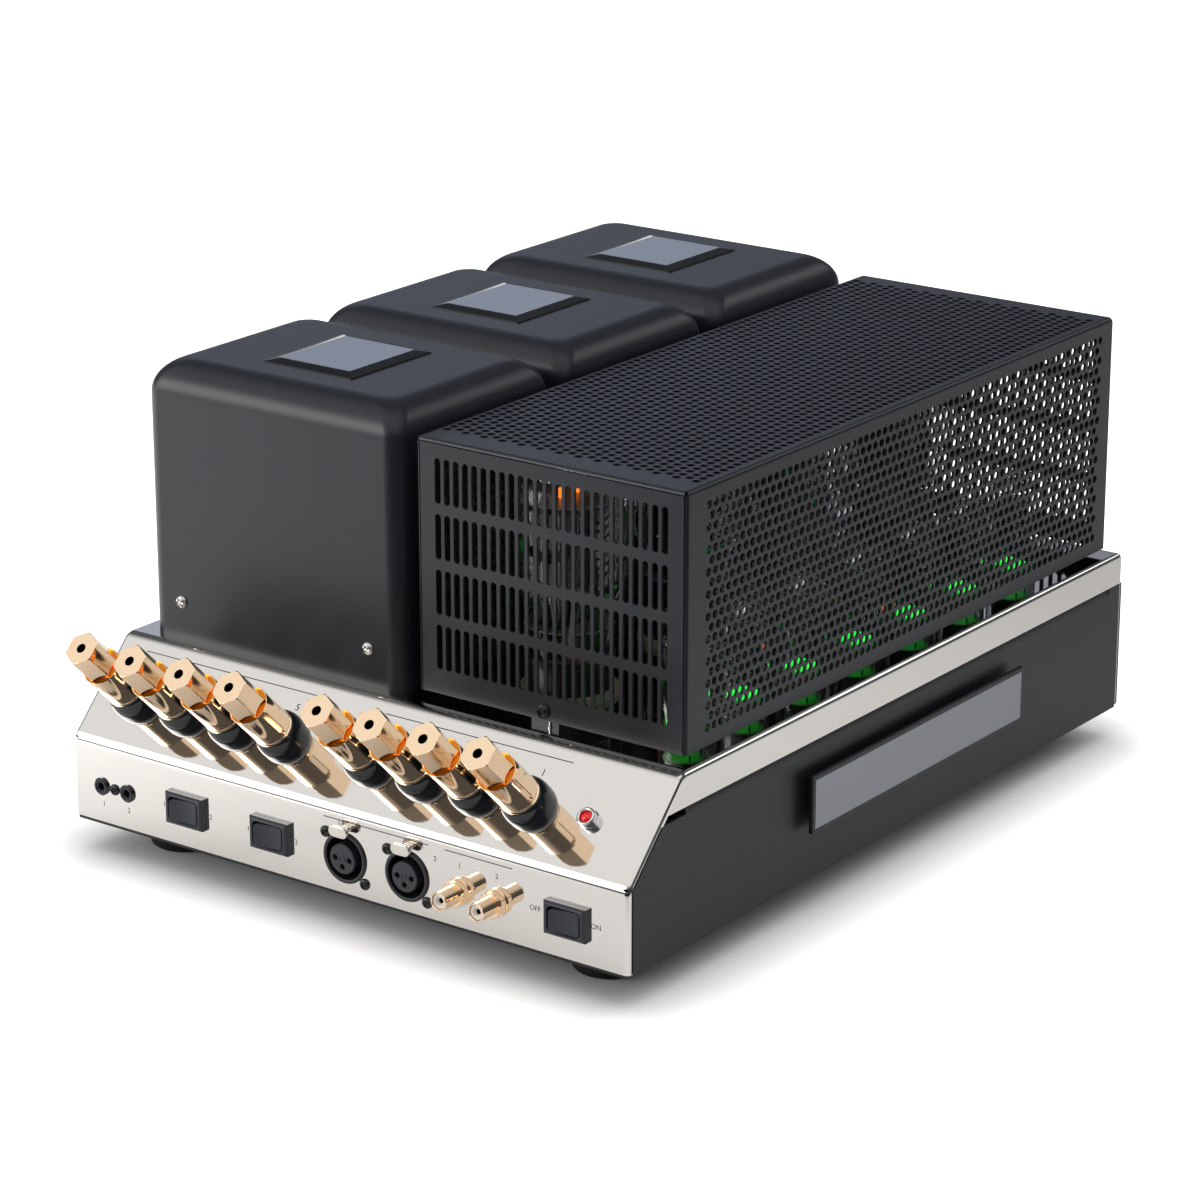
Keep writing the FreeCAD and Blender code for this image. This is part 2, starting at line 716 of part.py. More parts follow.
def make_tubes():
    """Tubes, the metal structures inside them, their bases and their sockets."""
    seat = deck_height + socket_flange
    bottom = seat + power_base_height
    top = bottom + power_height
    dome = power_radius * dome_share
    glass = power_bulb(0, bottom, top).cut(power_bulb(glass_wall, bottom, top))
    base = rod(power_base_radius, seat, bottom)
    base = base.makeFillet(glass_wall, edges_where(base, lambda p: near(p.z, bottom)))
    stalk = rod(stalk_radius, bottom + glass_wall + small_gap, bottom + glass_wall + electrode_gap)
    anode = centred(power_radius * anode_length_share, power_radius * anode_width_share,
                    bottom + glass_wall + electrode_gap, top - dome)
    anode = joined([anode, stalk])
    small_top = seat + signal_height
    small_anode = centred(signal_radius, signal_radius * anode_width_share, seat + glass_wall + small_gap,
                          small_top - signal_radius)
    plates, bases, sockets = [], [], []
    for i, (x, y) in enumerate(power_places()):
        place = Vector(x, y, 0)
        nodes[f"power_tube_{i + 1}"] = glass.translated(place)
        bases.append(base.translated(place))
        plates.append(anode.translated(place))
        sockets.append(tube_socket(large_socket_radius).translated(place))
    small_glass = small_bulb(signal_radius, seat, small_top)
    small_glass = small_glass.cut(small_bulb(signal_radius - glass_wall, seat + glass_wall,
                                             small_top - glass_wall))
    bulbs = []
    for x, y in signal_places():
        place = Vector(x, y, 0)
        bulbs.append(small_glass.translated(place))
        plates.append(small_anode.translated(place))
        sockets.append(tube_socket(small_socket_radius).translated(place))
    nodes["power_tube_bases"] = Part.makeCompound(bases)
    nodes["tube_plates"] = Part.makeCompound(plates)
    nodes["signal_tubes"] = Part.makeCompound(bulbs)
    nodes["tube_sockets"] = Part.makeCompound(sockets)


def power_bulb(wall, low, high):
    """An output tube's bulb, taken in by a wall: tapered foot, straight side and domed top."""
    radius, dome = power_radius - wall, power_radius * dome_share
    angles = [math.radians(90 * step / dome_steps) for step in range(dome_steps)]
    crown = [(radius * math.cos(a), high - dome + (dome - wall) * math.sin(a)) for a in angles]
    foot = [(0, low + wall), (power_neck_radius - wall, low + wall), (radius, low + power_shoulder)]
    return revolved(foot + crown + [(0, high - wall)])


def small_bulb(radius, low, high):
    """A straight bulb with a domed top."""
    bulb = rod(radius, low, high)
    return bulb.makeFillet(radius * small_dome_share, edges_where(bulb, lambda p: near(p.z, high)))


def tube_socket(radius):
    """A ceramic socket: a flange on the deck and a body hanging through it."""
    flange = rod(radius, deck_height, deck_height + socket_flange)
    return joined([flange, rod(radius - socket_step, deck_height - socket_depth, deck_height)])


def make_posts():
    """Binding posts: insulator and threaded stem fixed to the slope, cap turning on the stem."""
    bore = post_stem_radius + turning_fit
    stem_top = post_top + post_stem_reach
    hex_start = post_length - post_hex_length
    tip = post_hex_flats / math.sqrt(3)
    cone = revolved([(0, hex_start), (tip + over, hex_start), (tip + over, post_length - post_hex_chamfer - over),
                     (tip - post_hex_chamfer, post_length), (0, post_length)])
    cap = joined([rod(post_barrel_radius, post_top, hex_start),
                  hexagon(post_hex_flats, hex_start, post_length).common(cone)])
    cap = cap.cut([rod(bore, post_top - over, stem_top + small_gap),
                   rod(banana_radius, stem_top, post_length + over)])
    insulator = revolved([(bore, 0), (post_insulator_base, 0), (post_insulator_base, post_insulator_band),
                          (post_insulator_top, post_insulator_height), (bore, post_insulator_height)])
    collar = rod(post_spigot_radius, -sheet, 0).cut(rod(bore, -sheet - over, over))
    insulator = joined([insulator, collar])
    stem = joined([rod(post_stem_radius, -post_stem_tail, stem_top),
                   rod(post_nut_radius, -sheet - post_nut_height, -sheet)])
    insulators, stems = [], []
    for i, y in enumerate(post_places()):
        nodes[f"post_cap_{i + 1}"] = on_slope(cap, y)
        insulators.append(on_slope(insulator, y))
        stems.append(on_slope(stem, y))
    nodes["post_insulators"] = Part.makeCompound(insulators)
    nodes["post_stems"] = Part.makeCompound(stems)


def make_switches():
    """Rocker switches: a body clipped in the panel and a paddle on an upright pin."""
    body = centred(bezel_height, bezel_length, 0, bezel_thickness)
    rim = edges_where(body, lambda p: near(p.z, bezel_thickness))
    body = body.makeChamfer(bezel_chamfer, rim)
    body = joined([body, centred(switch_height, switch_length, -switch_depth, 0)])
    pin_half = rocker_height / 2 + rocker_pin_reach
    pin_axis, pin_start = Vector(1, 0, 0), Vector(-pin_half, 0, -rocker_pivot)
    hole_start = pin_start - Vector(turning_fit, 0, 0)
    hole = Part.makeCylinder(rocker_pin_radius + turning_fit, 2 * (pin_half + turning_fit), hole_start, pin_axis)
    body = body.cut([centred(window_height, window_length, -window_depth, bezel_thickness + over), hole])
    tabs = [centred(terminal_width, terminal_sheet, -switch_depth - terminal_length, -switch_depth,
                    0, side * terminal_spread / 2) for side in (-1, 1)]
    body = joined([body] + tabs)
    half = rocker_length / 2
    profile = [(-half, -rocker_back), (half, -rocker_back), (half, rocker_front),
               (0, rocker_front - rocker_dip), (-half, rocker_front)]
    outline = [Vector(-rocker_height / 2, y, z) for y, z in profile]
    paddle = Part.Face(Part.makePolygon(outline + outline[:1])).extrude(Vector(rocker_height, 0, 0))
    pin = Part.makeCylinder(rocker_pin_radius, 2 * pin_half, pin_start, pin_axis)
    paddle = joined([paddle, pin])
    bodies = []
    for name, y in rocker_y.items():
        pressed = paddle.copy()
        pressed.rotate(Vector(0, 0, -rocker_pivot), pin_axis, rocker_tilt)
        nodes[name + "_rocker"] = on_panel(pressed, y, rocker_z)
        bodies.append(on_panel(body, y, rocker_z))
    nodes["switch_bodies"] = Part.makeCompound(bodies)


def make_balanced_inputs():
    """Balanced sockets: metal shell, insert with three contacts, and the sprung release tab."""
    behind = -sheet - xlr_flange
    flange = centred(xlr_flange_height, xlr_flange_width, behind, -sheet)
    shell = joined([rod(xlr_rim_radius, 0, xlr_rim), rod(xlr_body_radius, -xlr_depth, 0), flange])
    holes = [rod(screw_radius + screw_fit, behind - over, over, side * xlr_screw_up, side * xlr_screw_along)
             for side in (-1, 1)]
    slot = centred(latch_sheet + 2 * small_gap, latch_stem_width + 2 * small_gap, behind - over, over, latch_rise)
    shell = shell.cut([rod(xlr_bore_radius, -xlr_bore_depth, xlr_rim + over), slot] + holes)
    insert = rod(xlr_insert_radius, -xlr_bore_depth, xlr_insert_reach)
    contacts = [rod(xlr_pin_radius, -xlr_bore_depth + over, xlr_insert_reach + over, x, y)
                for x, y in ((0, -xlr_pin_spread / 2), (0, xlr_pin_spread / 2), (-xlr_pin_drop, 0))]
    insert = insert.cut(contacts)
    round_end = latch_tab_height / 2
    reach = latch_tab_width / 2 - round_end
    inner = latch_reach - latch_sheet
    latch = joined([centred(latch_sheet, latch_stem_width, -latch_tail, inner, latch_rise),
                    centred(latch_tab_height, 2 * reach, inner, latch_reach, latch_rise),
                    rod(round_end, inner, latch_reach, latch_rise, -reach),
                    rod(round_end, inner, latch_reach, latch_rise, reach)])
    for i, y in enumerate(xlr_y):
        nodes[f"xlr_latch_{i + 1}"] = on_panel(latch, y, xlr_z)
    nodes["xlr_shells"] = Part.makeCompound([on_panel(shell, y, xlr_z) for y in xlr_y])
    nodes["xlr_inserts"] = Part.makeCompound([on_panel(insert, y, xlr_z) for y in xlr_y])


def make_small_jacks():
    """Unbalanced inputs and control jacks on the panel."""
    nut_top = rca_washer + rca_nut_height
    barrel = joined([rod(rca_radius, 0, rca_length), rod(rca_washer_radius, 0, rca_washer),
                     hexagon(rca_nut_flats, rca_washer, nut_top), rod(rca_flange_radius, nut_top, nut_top + rca_flange),
                     rod(rca_tail_radius, -rca_tail, 0)])
    barrel = barrel.cut([rod(rca_cup_radius, rca_length - rca_cup_depth, rca_length + over),
                         rod(rca_socket_radius, 0, rca_length)])
    nodes["rca_jacks"] = Part.makeCompound([on_panel(barrel, y, rca_z) for y in rca_y])
    jack = joined([rod(jack_radius, 0, jack_reach), rod(jack_neck_radius, -sheet, 0),
                   centred(jack_body, jack_body, -jack_depth, -sheet)])
    jack = jack.cut(rod(jack_bore_radius, -jack_depth + over, jack_reach + over))
    nodes["control_jacks"] = Part.makeCompound([on_panel(jack, y, jack_z) for y in jack_y])


def make_lamp():
    """Pilot lamp on the slope: a turned bezel round a domed lens."""
    bezel = joined([rod(lamp_radius, 0, lamp_reach), rod(lamp_neck_radius, -lamp_tail, 0)])
    bezel = bezel.makeChamfer(lamp_radius - lamp_lens_radius - lamp_land,
                              edges_where(bezel, lambda p: near(p.z, lamp_reach)))
    bezel = bezel.cut(rod(lamp_lens_radius + turning_fit, -lamp_tail - over, lamp_reach + over))
    lens_top = lamp_reach - small_gap
    lens = rod(lamp_lens_radius, -lamp_tail, lens_top)
    lens = lens.makeFillet(lamp_dome, edges_where(lens, lambda p: near(p.z, lens_top)))
    nodes["lamp_bezel"] = on_slope(bezel, lamp_y)
    nodes["lamp_lens"] = on_slope(lens, lamp_y)


def make_mains():
    """Mains inlet with its three blades, and the fuse holder with its screw cap."""
    inlet = joined([centred(inlet_flange_height, inlet_flange_length, 0, inlet_flange),
                    centred(inlet_body_height, inlet_body_length, -inlet_depth, 0)])
    inlet = inlet.cut([centred(inlet_well_height, inlet_well_length, -inlet_well_depth, inlet_flange + over)]
                      + [rod(screw_radius + screw_fit, -over, inlet_flange + over, 0, y - inlet_y)
                         for y in inlet_screw_places()])
    tip = inlet_blade_reach - inlet_well_depth
    blades = [centred(inlet_blade_width, inlet_blade_sheet, -inlet_well_depth - over, tip, x, y)
              for x, y in ((inlet_blade_rise, -inlet_blade_spread), (inlet_blade_rise, inlet_blade_spread),
                           (-inlet_blade_rise, 0))]
    nodes["mains_inlet"] = on_back(joined([inlet] + blades), inlet_y, inlet_z)
    holder = joined([rod(fuse_flange_radius, 0, fuse_flange), rod(fuse_body_radius, -fuse_depth, 0)])
    holder = holder.cut([rod(fuse_cap_radius + turning_fit, -fuse_cap_depth, fuse_flange + over),
                         rod(fuse_bore_radius, -fuse_link_length - fuse_cap_depth, 0)])
    cap = rod(fuse_cap_radius, -fuse_cap_depth + small_gap, fuse_cap_reach)
    slot = centred(2 * fuse_cap_radius + over, fuse_slot_width, fuse_cap_reach - fuse_slot_depth,
                   fuse_cap_reach + over)
    link = rod(fuse_bore_radius - small_gap, -fuse_link_length, 0)
    nodes["fuse_holder"] = on_back(holder, fuse_y, inlet_z)
    nodes["fuse_cap"] = on_back(joined([cap.cut(slot), link]), fuse_y, inlet_z)


def make_board():
    """The board under the deck and the spacers that it hangs on."""
    top = deck_height - sheet - board_drop
    board = block((board_first_x, board_first_y, top - board_thickness),
                  (board_first_x + board_length, board_first_y + board_width, top))
    corners = [(board_first_x + dx, board_first_y + dy) for dx in (board_inset, board_length - board_inset)
               for dy in (board_inset, board_width - board_inset)]
    spacers = [rod(board_spacer_radius, top, deck_height - sheet, x, y) for x, y in corners]
    nodes["circuit_board"] = Part.makeCompound([board] + spacers)


def make_black_screws():
    """Screws of the cage, the panel fittings and the mains inlet."""
    middle = cage_side_margin + cage_width / 2 + cage_screw_offset
    lift = deck_height + cage_screw_lift
    screws = [on_face(screw(cage_screw_head_radius, cage_screw_head), -90 * side, x, middle, lift)
              for x, side in ((cage_first_x, -1), (cage_first_x + cage_length, 1))]
    screws += [on_panel(screw(), y, z) for y, z in xlr_screw_places() + [jack_screw_place()]]
    inlet_screw = screw().translated(Vector(0, 0, inlet_flange))
    screws += [on_back(inlet_screw, y, inlet_z) for y in inlet_screw_places()]
    nodes["black_screws"] = Part.makeCompound(screws)


def frame_origin():
    """The middle of the underside of everything, which becomes the origin."""
    tip = nodes["post_cap_1"].optimalBoundingBox(False, False).XMin
    far = chassis_length + inlet_flange + screw_head
    front = -plaque_standoff - plaque_thickness
    return Vector((tip + far) / 2, (front + chassis_width) / 2, -cover_thickness - foot_height)


nodes["chassis_shell"] = make_shell()
make_chassis_plates()
nodes["rubber_feet"] = make_feet()
make_plaque()
make_cans()
make_cage()
make_tubes()
make_posts()
make_switches()
make_balanced_inputs()
make_small_jacks()
make_lamp()
make_mains()
make_board()
make_black_screws()

origin = frame_origin()
for name, shape in nodes.items():
    shape.translated(-origin).exportStep(f"parts/{name}.step")
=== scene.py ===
"""Looks of a tube power amplifier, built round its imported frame. Sizes are in millimetres."""
from __future__ import annotations

import json
import logging
import math
from collections.abc import Iterable, Sequence
from dataclasses import dataclass
from enum import Enum
from typing import Any

import bmesh
import bpy
from bmesh.types import BMesh
from mathutils import Matrix, Vector


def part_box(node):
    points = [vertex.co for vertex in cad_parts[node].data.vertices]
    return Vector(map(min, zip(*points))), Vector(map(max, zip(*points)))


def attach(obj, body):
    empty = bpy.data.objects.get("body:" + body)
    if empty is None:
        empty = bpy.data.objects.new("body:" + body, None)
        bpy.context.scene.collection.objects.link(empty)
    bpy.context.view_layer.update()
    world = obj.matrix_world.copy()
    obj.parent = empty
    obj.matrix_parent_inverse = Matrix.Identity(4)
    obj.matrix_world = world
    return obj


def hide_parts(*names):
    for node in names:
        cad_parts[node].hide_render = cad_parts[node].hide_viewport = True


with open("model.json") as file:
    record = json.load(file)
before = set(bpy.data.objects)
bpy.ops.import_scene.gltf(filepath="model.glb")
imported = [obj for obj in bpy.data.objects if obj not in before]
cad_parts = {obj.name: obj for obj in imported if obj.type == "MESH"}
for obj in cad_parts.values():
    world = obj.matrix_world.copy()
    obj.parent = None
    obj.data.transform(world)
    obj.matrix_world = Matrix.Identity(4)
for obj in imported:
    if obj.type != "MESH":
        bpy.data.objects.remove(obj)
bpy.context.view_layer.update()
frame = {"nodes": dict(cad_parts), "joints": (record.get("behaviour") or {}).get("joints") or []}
MM = 0.001
CORNER = Vector(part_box("chassis_shell")[0])
SMOOTH_BELOW = math.radians(32)
LOG = logging.getLogger("amplifier")


class Axis(Enum):
    """A direction of the frame."""

    X = Vector((1, 0, 0))
    Y = Vector((0, 1, 0))
    Z = Vector((0, 0, 1))
    BACK_X = Vector((-1, 0, 0))
    BACK_Y = Vector((0, -1, 0))


class Opening(Enum):
    """The shape that a screen of the cage is punched with."""

    ROUND = "round"
    SLOT = "slot"


def linear(code: str) -> tuple[float, float, float, float]:
    """Turn an sRGB hex colour to linear light.

    Args:
        code: Six hex digits after a hash.

    Returns:
        Red, green, blue and an alpha of 1.
    """
    values = [int(code[i:i + 2], 16) / 255 for i in (1, 3, 5)]
    red, green, blue = [v / 12.92 if v <= 0.04045 else ((v + 0.055) / 1.055) ** 2.4 for v in values]
    return red, green, blue, 1.0


def add_node(tree: Any, kind: str, settings: dict[str, Any], links: dict[Any, Any] | None = None) -> Any:
    """Add one node.

    Args:
        tree: The node tree.
        kind: The node's type name.
        settings: Values of input sockets or of the node's own properties, by name.
        links: Sources for input sockets, by name or index.

    Returns:
        The new node.
    """
    made = tree.nodes.new(kind)
    for key, value in settings.items():
        if isinstance(key, int) or key in made.inputs:
            made.inputs[key].default_value = value
        else:
            setattr(made, key, value)
    for socket, source in (links or {}).items():
        tree.links.new(source, made.inputs[socket])
    return made


@dataclass(frozen=True)
class Finish:
    """A surface with a fine grain that shifts its colour, its gloss and its relief."""

    name: str
    colour: str
    slot: str
    roughness: float = 0.5
    metallic: float = 0.0
    specular: float = 0.5
    grain: float = 1.0
    stretch: tuple[float, float, float] = (1.0, 1.0, 1.0)
    relief: float = 0.0
    mottle: float = 0.0
    tint: float = 0.0
    coat: float = 0.0
    transmission: float = 0.0
    ior: float = 1.5

    def material(self) -> bpy.types.Material:
        """Return the finish's material, made once."""
        if self.name in bpy.data.materials:
            return bpy.data.materials[self.name]
        made = bpy.data.materials.new(self.name)
        made.use_nodes = True
        self.dress(made.node_tree, made.node_tree.nodes["Principled BSDF"])
        made.diffuse_color = linear(self.colour)
        return made

    def dress(self, tree: Any, shader: Any) -> None:
        """Set the shader and link the grain to it.

        Args:
            tree: The material's node tree.
            shader: Its Principled BSDF.
        """
        values = {"Metallic": self.metallic, "Specular IOR Level": self.specular, "Coat Weight": self.coat,
                  "Transmission Weight": self.transmission, "IOR": self.ior, "Roughness": self.roughness,
                  "Base Color": linear(self.colour)}
        for key, value in values.items():
            shader.inputs[key].default_value = value
        noise = self.grain_field(tree)
        if self.tint:
            darker = tuple(c * (1 - self.tint) for c in linear(self.colour)[:3]) + (1.0,)
            lighter = tuple(min(1.0, c * (1 + self.tint)) for c in linear(self.colour)[:3]) + (1.0,)
            mix = add_node(tree, "ShaderNodeMix", {"data_type": "RGBA"}, {0: noise})
            mix.inputs[6].default_value, mix.inputs[7].default_value = darker, lighter
            tree.links.new(mix.outputs[2], shader.inputs["Base Color"])
        if self.mottle:
            gloss = add_node(tree, "ShaderNodeMapRange",
                             {"To Min": max(0.02, self.roughness - self.mottle),
                              "To Max": self.roughness + self.mottle}, {"Value": noise})
            tree.links.new(gloss.outputs[0], shader.inputs["Roughness"])
        if self.relief:
            depth = 0.2 * self.grain * MM
            bump = add_node(tree, "ShaderNodeBump", {"Strength": self.relief, "Distance": depth},
                            {"Height": noise})
            tree.links.new(bump.outputs[0], shader.inputs["Normal"])

    def grain_field(self, tree: Any) -> Any:
        """Make the noise that all variation follows.

        Args:
            tree: The material's node tree.

        Returns:
            The socket that carries it.
        """
        where = add_node(tree, "ShaderNodeTexCoord", {})
        scaled = add_node(tree, "ShaderNodeMapping", {"Scale": self.stretch},
                          {"Vector": where.outputs["Object"]})
        noise = add_node(tree, "ShaderNodeTexNoise", {"Scale": 1 / (self.grain * MM), "Detail": 3.0},
                         {"Vector": scaled.outputs[0]})
        return noise.outputs[0]


@dataclass(frozen=True)
class Banded(Finish):
    """A finish with regular bands, such as the turns of a winding or stacked laminations."""

    band: float = 1.0
    direction: str = "Z"

    def grain_field(self, tree: Any) -> Any:
        """Make the bands that the variation follows.

        Args:
            tree: The material's node tree.

        Returns:
            The socket that carries them.
        """
        where = add_node(tree, "ShaderNodeTexCoord", {})
        wave = add_node(tree, "ShaderNodeTexWave", {"Scale": math.pi / (10 * self.band * MM), "Distortion": 0.4,
                                                    "bands_direction": self.direction},
                        {"Vector": where.outputs["Object"]})
        return wave.outputs[1]


@dataclass(frozen=True)
class Glow(Finish):
    """A surface that shines by itself, a little unevenly."""

    strength: float = 1.0

    def dress(self, tree: Any, shader: Any) -> None:
        """Add the light to the finish.

        Args:
            tree: The material's node tree.
            shader: Its Principled BSDF.
        """
        super().dress(tree, shader)
        shader.inputs["Emission Color"].default_value = linear(self.colour)
        shader.inputs["Emission Strength"].default_value = self.strength


# Mirror-polished stainless sheet: a clear reflection, slightly warm, with the faintest rolling streaks
POLISHED_STEEL = Finish("mirror_polished_stainless", "#dcd8d3", "polished_steel", roughness=0.05, metallic=1.0,
                        grain=9.0, stretch=(1, 0.15, 1), mottle=0.02, tint=0.015)
# Fine powder coat on drawn cans: satin, with soft broad highlights and a barely visible orange peel
CAN_COAT = Finish("satin_powder_coat", "#1a1d23", "can_black", roughness=0.36, specular=0.4, grain=0.7,
                  relief=0.06, mottle=0.03, tint=0.06)
# The same coat on the punched sheets of the cage, thinner and a little glossier
CAGE_COAT = Finish("screen_powder_coat", "#1a1d23", "cage_black", roughness=0.36, specular=0.4, grain=0.6,
                   relief=0.05, mottle=0.03, tint=0.06)
# Coat on the folded plates of the chassis
PLATE_COAT = Finish("plate_powder_coat", "#14161a", "black_plate", roughness=0.4, specular=0.4, grain=0.7,
                    relief=0.06, mottle=0.03, tint=0.06)
# Moulded rubber: matt black, with the pits of its mould
FOOT_RUBBER = Finish("moulded_rubber", "#121214", "foot_rubber", roughness=0.75, specular=0.3, grain=1.2,
                     relief=0.12, mottle=0.06, tint=0.1)
# Gold flash over polished brass: warm, nearly a mirror
GOLD = Finish("gold_plated_brass", "#f7dab8", "gold", roughness=0.08, metallic=1.0, grain=3.0, mottle=0.03,
              tint=0.03)
# The same plating in the recess behind a hexagon, with a painted reflection: a deeper orange for gold that sees
# only gold
GOLD_PAINTED_REFLECTION = Finish("gold_plating_painted_reflection", "#d98427", "gold", roughness=0.2, metallic=1.0, grain=3.0,
                   mottle=0.04, tint=0.05)
# Cast tab under nickel: bright, with a pebbled face
CAST_TAB = Finish("cast_nickel_tab", "#d8d2ca", "nickel", roughness=0.24, metallic=1.0, grain=1.6, relief=0.5,
                  mottle=0.06, tint=0.06)
# Chrome plate on a turned ring: a clear, cool mirror
CHROME = Finish("bright_chrome", "#dadadc", "chrome_trim", roughness=0.06, metallic=1.0, grain=3.0, mottle=0.02,
                tint=0.02)
# Zinc plate on steel screws: bright, with a soft blur
ZINC = Finish("zinc_plated_steel", "#d2d0cc", "bright_screw", roughness=0.22, metallic=1.0, grain=1.5,
              mottle=0.05, tint=0.04)
# Blackened steel screws: dark, with a small sheen
BLACK_OXIDE = Finish("black_oxide_steel", "#15161a", "black_screw", roughness=0.3, specular=0.5, grain=0.8,
                     mottle=0.05, tint=0.08)
# Moulded nylon insulators: near-black with a soft sheen
POLISHED_NYLON = Finish("polished_black_nylon", "#15181d", "insulator_black", roughness=0.16, grain=1.2,
                      mottle=0.04, tint=0.08)
# The same nylon as it leaves the mould: a broad dull sheen
NYLON = Finish("moulded_black_nylon", "#15171a", "insulator_black", roughness=0.42, grain=0.8, relief=0.06,
               mottle=0.05, tint=0.08)
# Moulded switch plastic; its slight blue is painted light, the cast of a studio's light
SWITCH_PLASTIC = Finish("moulded_switch_plastic", "#1b2029", "switch_black", roughness=0.32, grain=0.6,
                        relief=0.05, mottle=0.04, tint=0.06)
# Moulded plastic of the contact inserts: a little greyer than the switches
INSERT_PLASTIC = Finish("moulded_insert_plastic", "#23262c", "switch_black", roughness=0.3, grain=0.6,
                        relief=0.05, mottle=0.04, tint=0.06)
# Pressed phenolic bases: dark brown, with a slight gloss
PHENOLIC = Finish("pressed_phenolic", "#1a1412", "base_black", roughness=0.3, grain=0.8, mottle=0.06, tint=0.15)
# Pressed ceramic sockets with painted shade: off-white ceramic darkened for the dim light of the cage
CERAMIC_PAINTED_SHADE = Finish("pressed_ceramic_painted_shade", "#98907f", "socket_ceramic", roughness=0.55, grain=0.8, relief=0.1,
                 mottle=0.05, tint=0.05)
# White fluoropolymer: smooth and waxy
WHITE_INSULATOR = Finish("white_fluoropolymer", "#ece9e4", "socket_ceramic", roughness=0.35, grain=1.0,
                         mottle=0.04, tint=0.03)
# Nickel plates blackened with carbon: dull grey metal
CARBON_NICKEL = Finish("carbonised_nickel", "#3a3b3e", "electrode_grey", roughness=0.5, metallic=0.8, grain=0.8,
                       relief=0.1, mottle=0.08, tint=0.15)
# The mirror that the getter leaves inside the dome of a tube
GETTER = Finish("getter_mirror", "#c9ccd2", "electrode_grey", roughness=0.12, metallic=1.0, grain=4.0,
                mottle=0.08, tint=0.1)
# Split mica: pale grey-brown sheets with a faint gloss
MICA = Finish("split_mica", "#857e70", "electrode_grey", roughness=0.3, grain=1.5, mottle=0.08, tint=0.08)
# Blown soda glass: clear, with a slight roll of the surface
TUBE_GLASS = Finish("blown_glass", "#f4f8f7", "tube_glass", roughness=0.02, transmission=1.0, ior=1.47,
                    grain=12.0, mottle=0.01)
# Black glass, a mirror wherever it is polished
BLACK_GLASS = Finish("polished_black_glass", "#0a0b0e", "plate_glass", roughness=0.07, specular=0.6, grain=1.6,
                     mottle=0.03, tint=0.1)
# The polished middle of a glass plate; its grey-blue colour is a painted reflection of a pale sky
PANE_PAINTED_REFLECTION = Finish("pane_painted_sky_reflection", "#666e7c", "plate_glass", roughness=0.12, specular=0.6, grain=1.6,
                      mottle=0.05, tint=0.1)
# Aluminium blasted with beads: a fine grey grain
PLAQUE_METAL = Finish("bead_blasted_aluminium", "#8d9096", "plaque_grey", roughness=0.34, metallic=1.0,
                      grain=0.5, relief=0.1, mottle=0.06, tint=0.06)
# Screen-printed ink: matt, nearly black
INK = Finish("screen_printed_ink", "#1c1c1e", "black_plate", roughness=0.6, grain=0.5, mottle=0.05, tint=0.1)
# Green lacquer on woven glass board
BOARD = Finish("glass_fibre_board", "#12482a", "board_green", roughness=0.4, grain=1.0, mottle=0.06, tint=0.15)
# Red plastic lens, lit from inside a little
LAMP_LENS = Glow("red_lamp_lens", "#d20a0c", "lamp_red", roughness=0.12, grain=1.2, mottle=0.04, tint=0.2,
                 coat=0.6, strength=0.35)
# Light of a green diode in the foot of a signal tube
GREEN_GLOW = Glow("green_diode_light", "#18ff4a", "tube_glass", roughness=0.4, grain=2.0, tint=0.3,
                  strength=1.2)
# Orange light at the ends of the heaters
HEATER_GLOW = Glow("heater_light", "#ff7a24", "electrode_grey", roughness=0.5, grain=1.0, tint=0.2,
                   strength=1.7)
# Enamelled copper wire, whose turns show as fine bands
ENAMELLED_WIRE = Banded("enamelled_copper_wire", "#8a3a12", "winding_copper", roughness=0.3, metallic=0.6,
                        relief=0.5, tint=0.2, band=1.2)
# Stacked steel sheets, whose edges show as fine bands
LAMINATIONS = Banded("stacked_laminations", "#4c4945", "core_steel", roughness=0.5, metallic=0.7, relief=0.4,
                     tint=0.2, band=1.0, direction="X")

KEPT_NODES = {
    "back_panel": PLATE_COAT, "bottom_cover": PLATE_COAT, "nameplate_studs": PLATE_COAT,
    "circuit_board": BOARD, "cage_brackets": CAGE_COAT, "post_stems": GOLD, "tube_sockets": CERAMIC_PAINTED_SHADE,
    "fuse_holder": SWITCH_PLASTIC, "mains_inlet": SWITCH_PLASTIC, "fuse_cap": SWITCH_PLASTIC,
    "transformer_windings": ENAMELLED_WIRE, "transformer_core_1": LAMINATIONS,
    "transformer_core_2": LAMINATIONS, "transformer_core_3": LAMINATIONS,
}


def span(node: str) -> tuple[Vector, Vector]:
    """Give a node's lowest and highest corners in millimetres from the chassis's corner."""
    low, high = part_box(node)
    return (Vector(low) - CORNER) / MM, (Vector(high) - CORNER) / MM


def middle_of(node: str) -> Vector:
    """Give the middle of a node's box, in millimetres from the chassis's corner."""
    low, high = span(node)
    return (low + high) / 2


def hinge(child: str) -> tuple[Vector, Vector]:
    """Give a moving piece's joint: its place, in millimetres from the chassis's corner, and its direction."""
    joint = next(j for j in frame["joints"] if j["child"] == child)
    return (Vector(joint["pos_m"]) - CORNER) / MM, Vector(joint["axis"])


def axes(origin: Sequence[float], u: Vector, v: Vector) -> Matrix:
    """Place a drawing made in millimetres.

    Args:
        origin: Where the drawing's origin goes, from the chassis's corner.
        u: The direction of its first axis.
        v: The direction of its second axis.

    Returns:
        The matrix that puts it in the frame, in metres.
    """
    turn = Matrix((u, v, u.cross(v))).transposed().to_4x4()
    return Matrix.Translation(CORNER + MM * Vector(origin)) @ turn @ Matrix.Scale(MM, 4)


def level(x: float = 0.0, y: float = 0.0, z: float = 0.0) -> Matrix:
    """Place a drawing level, with its axes along the frame's."""
    return axes((x, y, z), Axis.X.value, Axis.Y.value)


def stand(origin: Sequence[float], outward: Vector) -> Matrix:
    """Place a fitting whose own z points out of a face of the chassis and whose y runs along it."""
    up = Axis.Y.value.cross(outward.normalized())
    return axes(origin, up, Axis.Y.value)


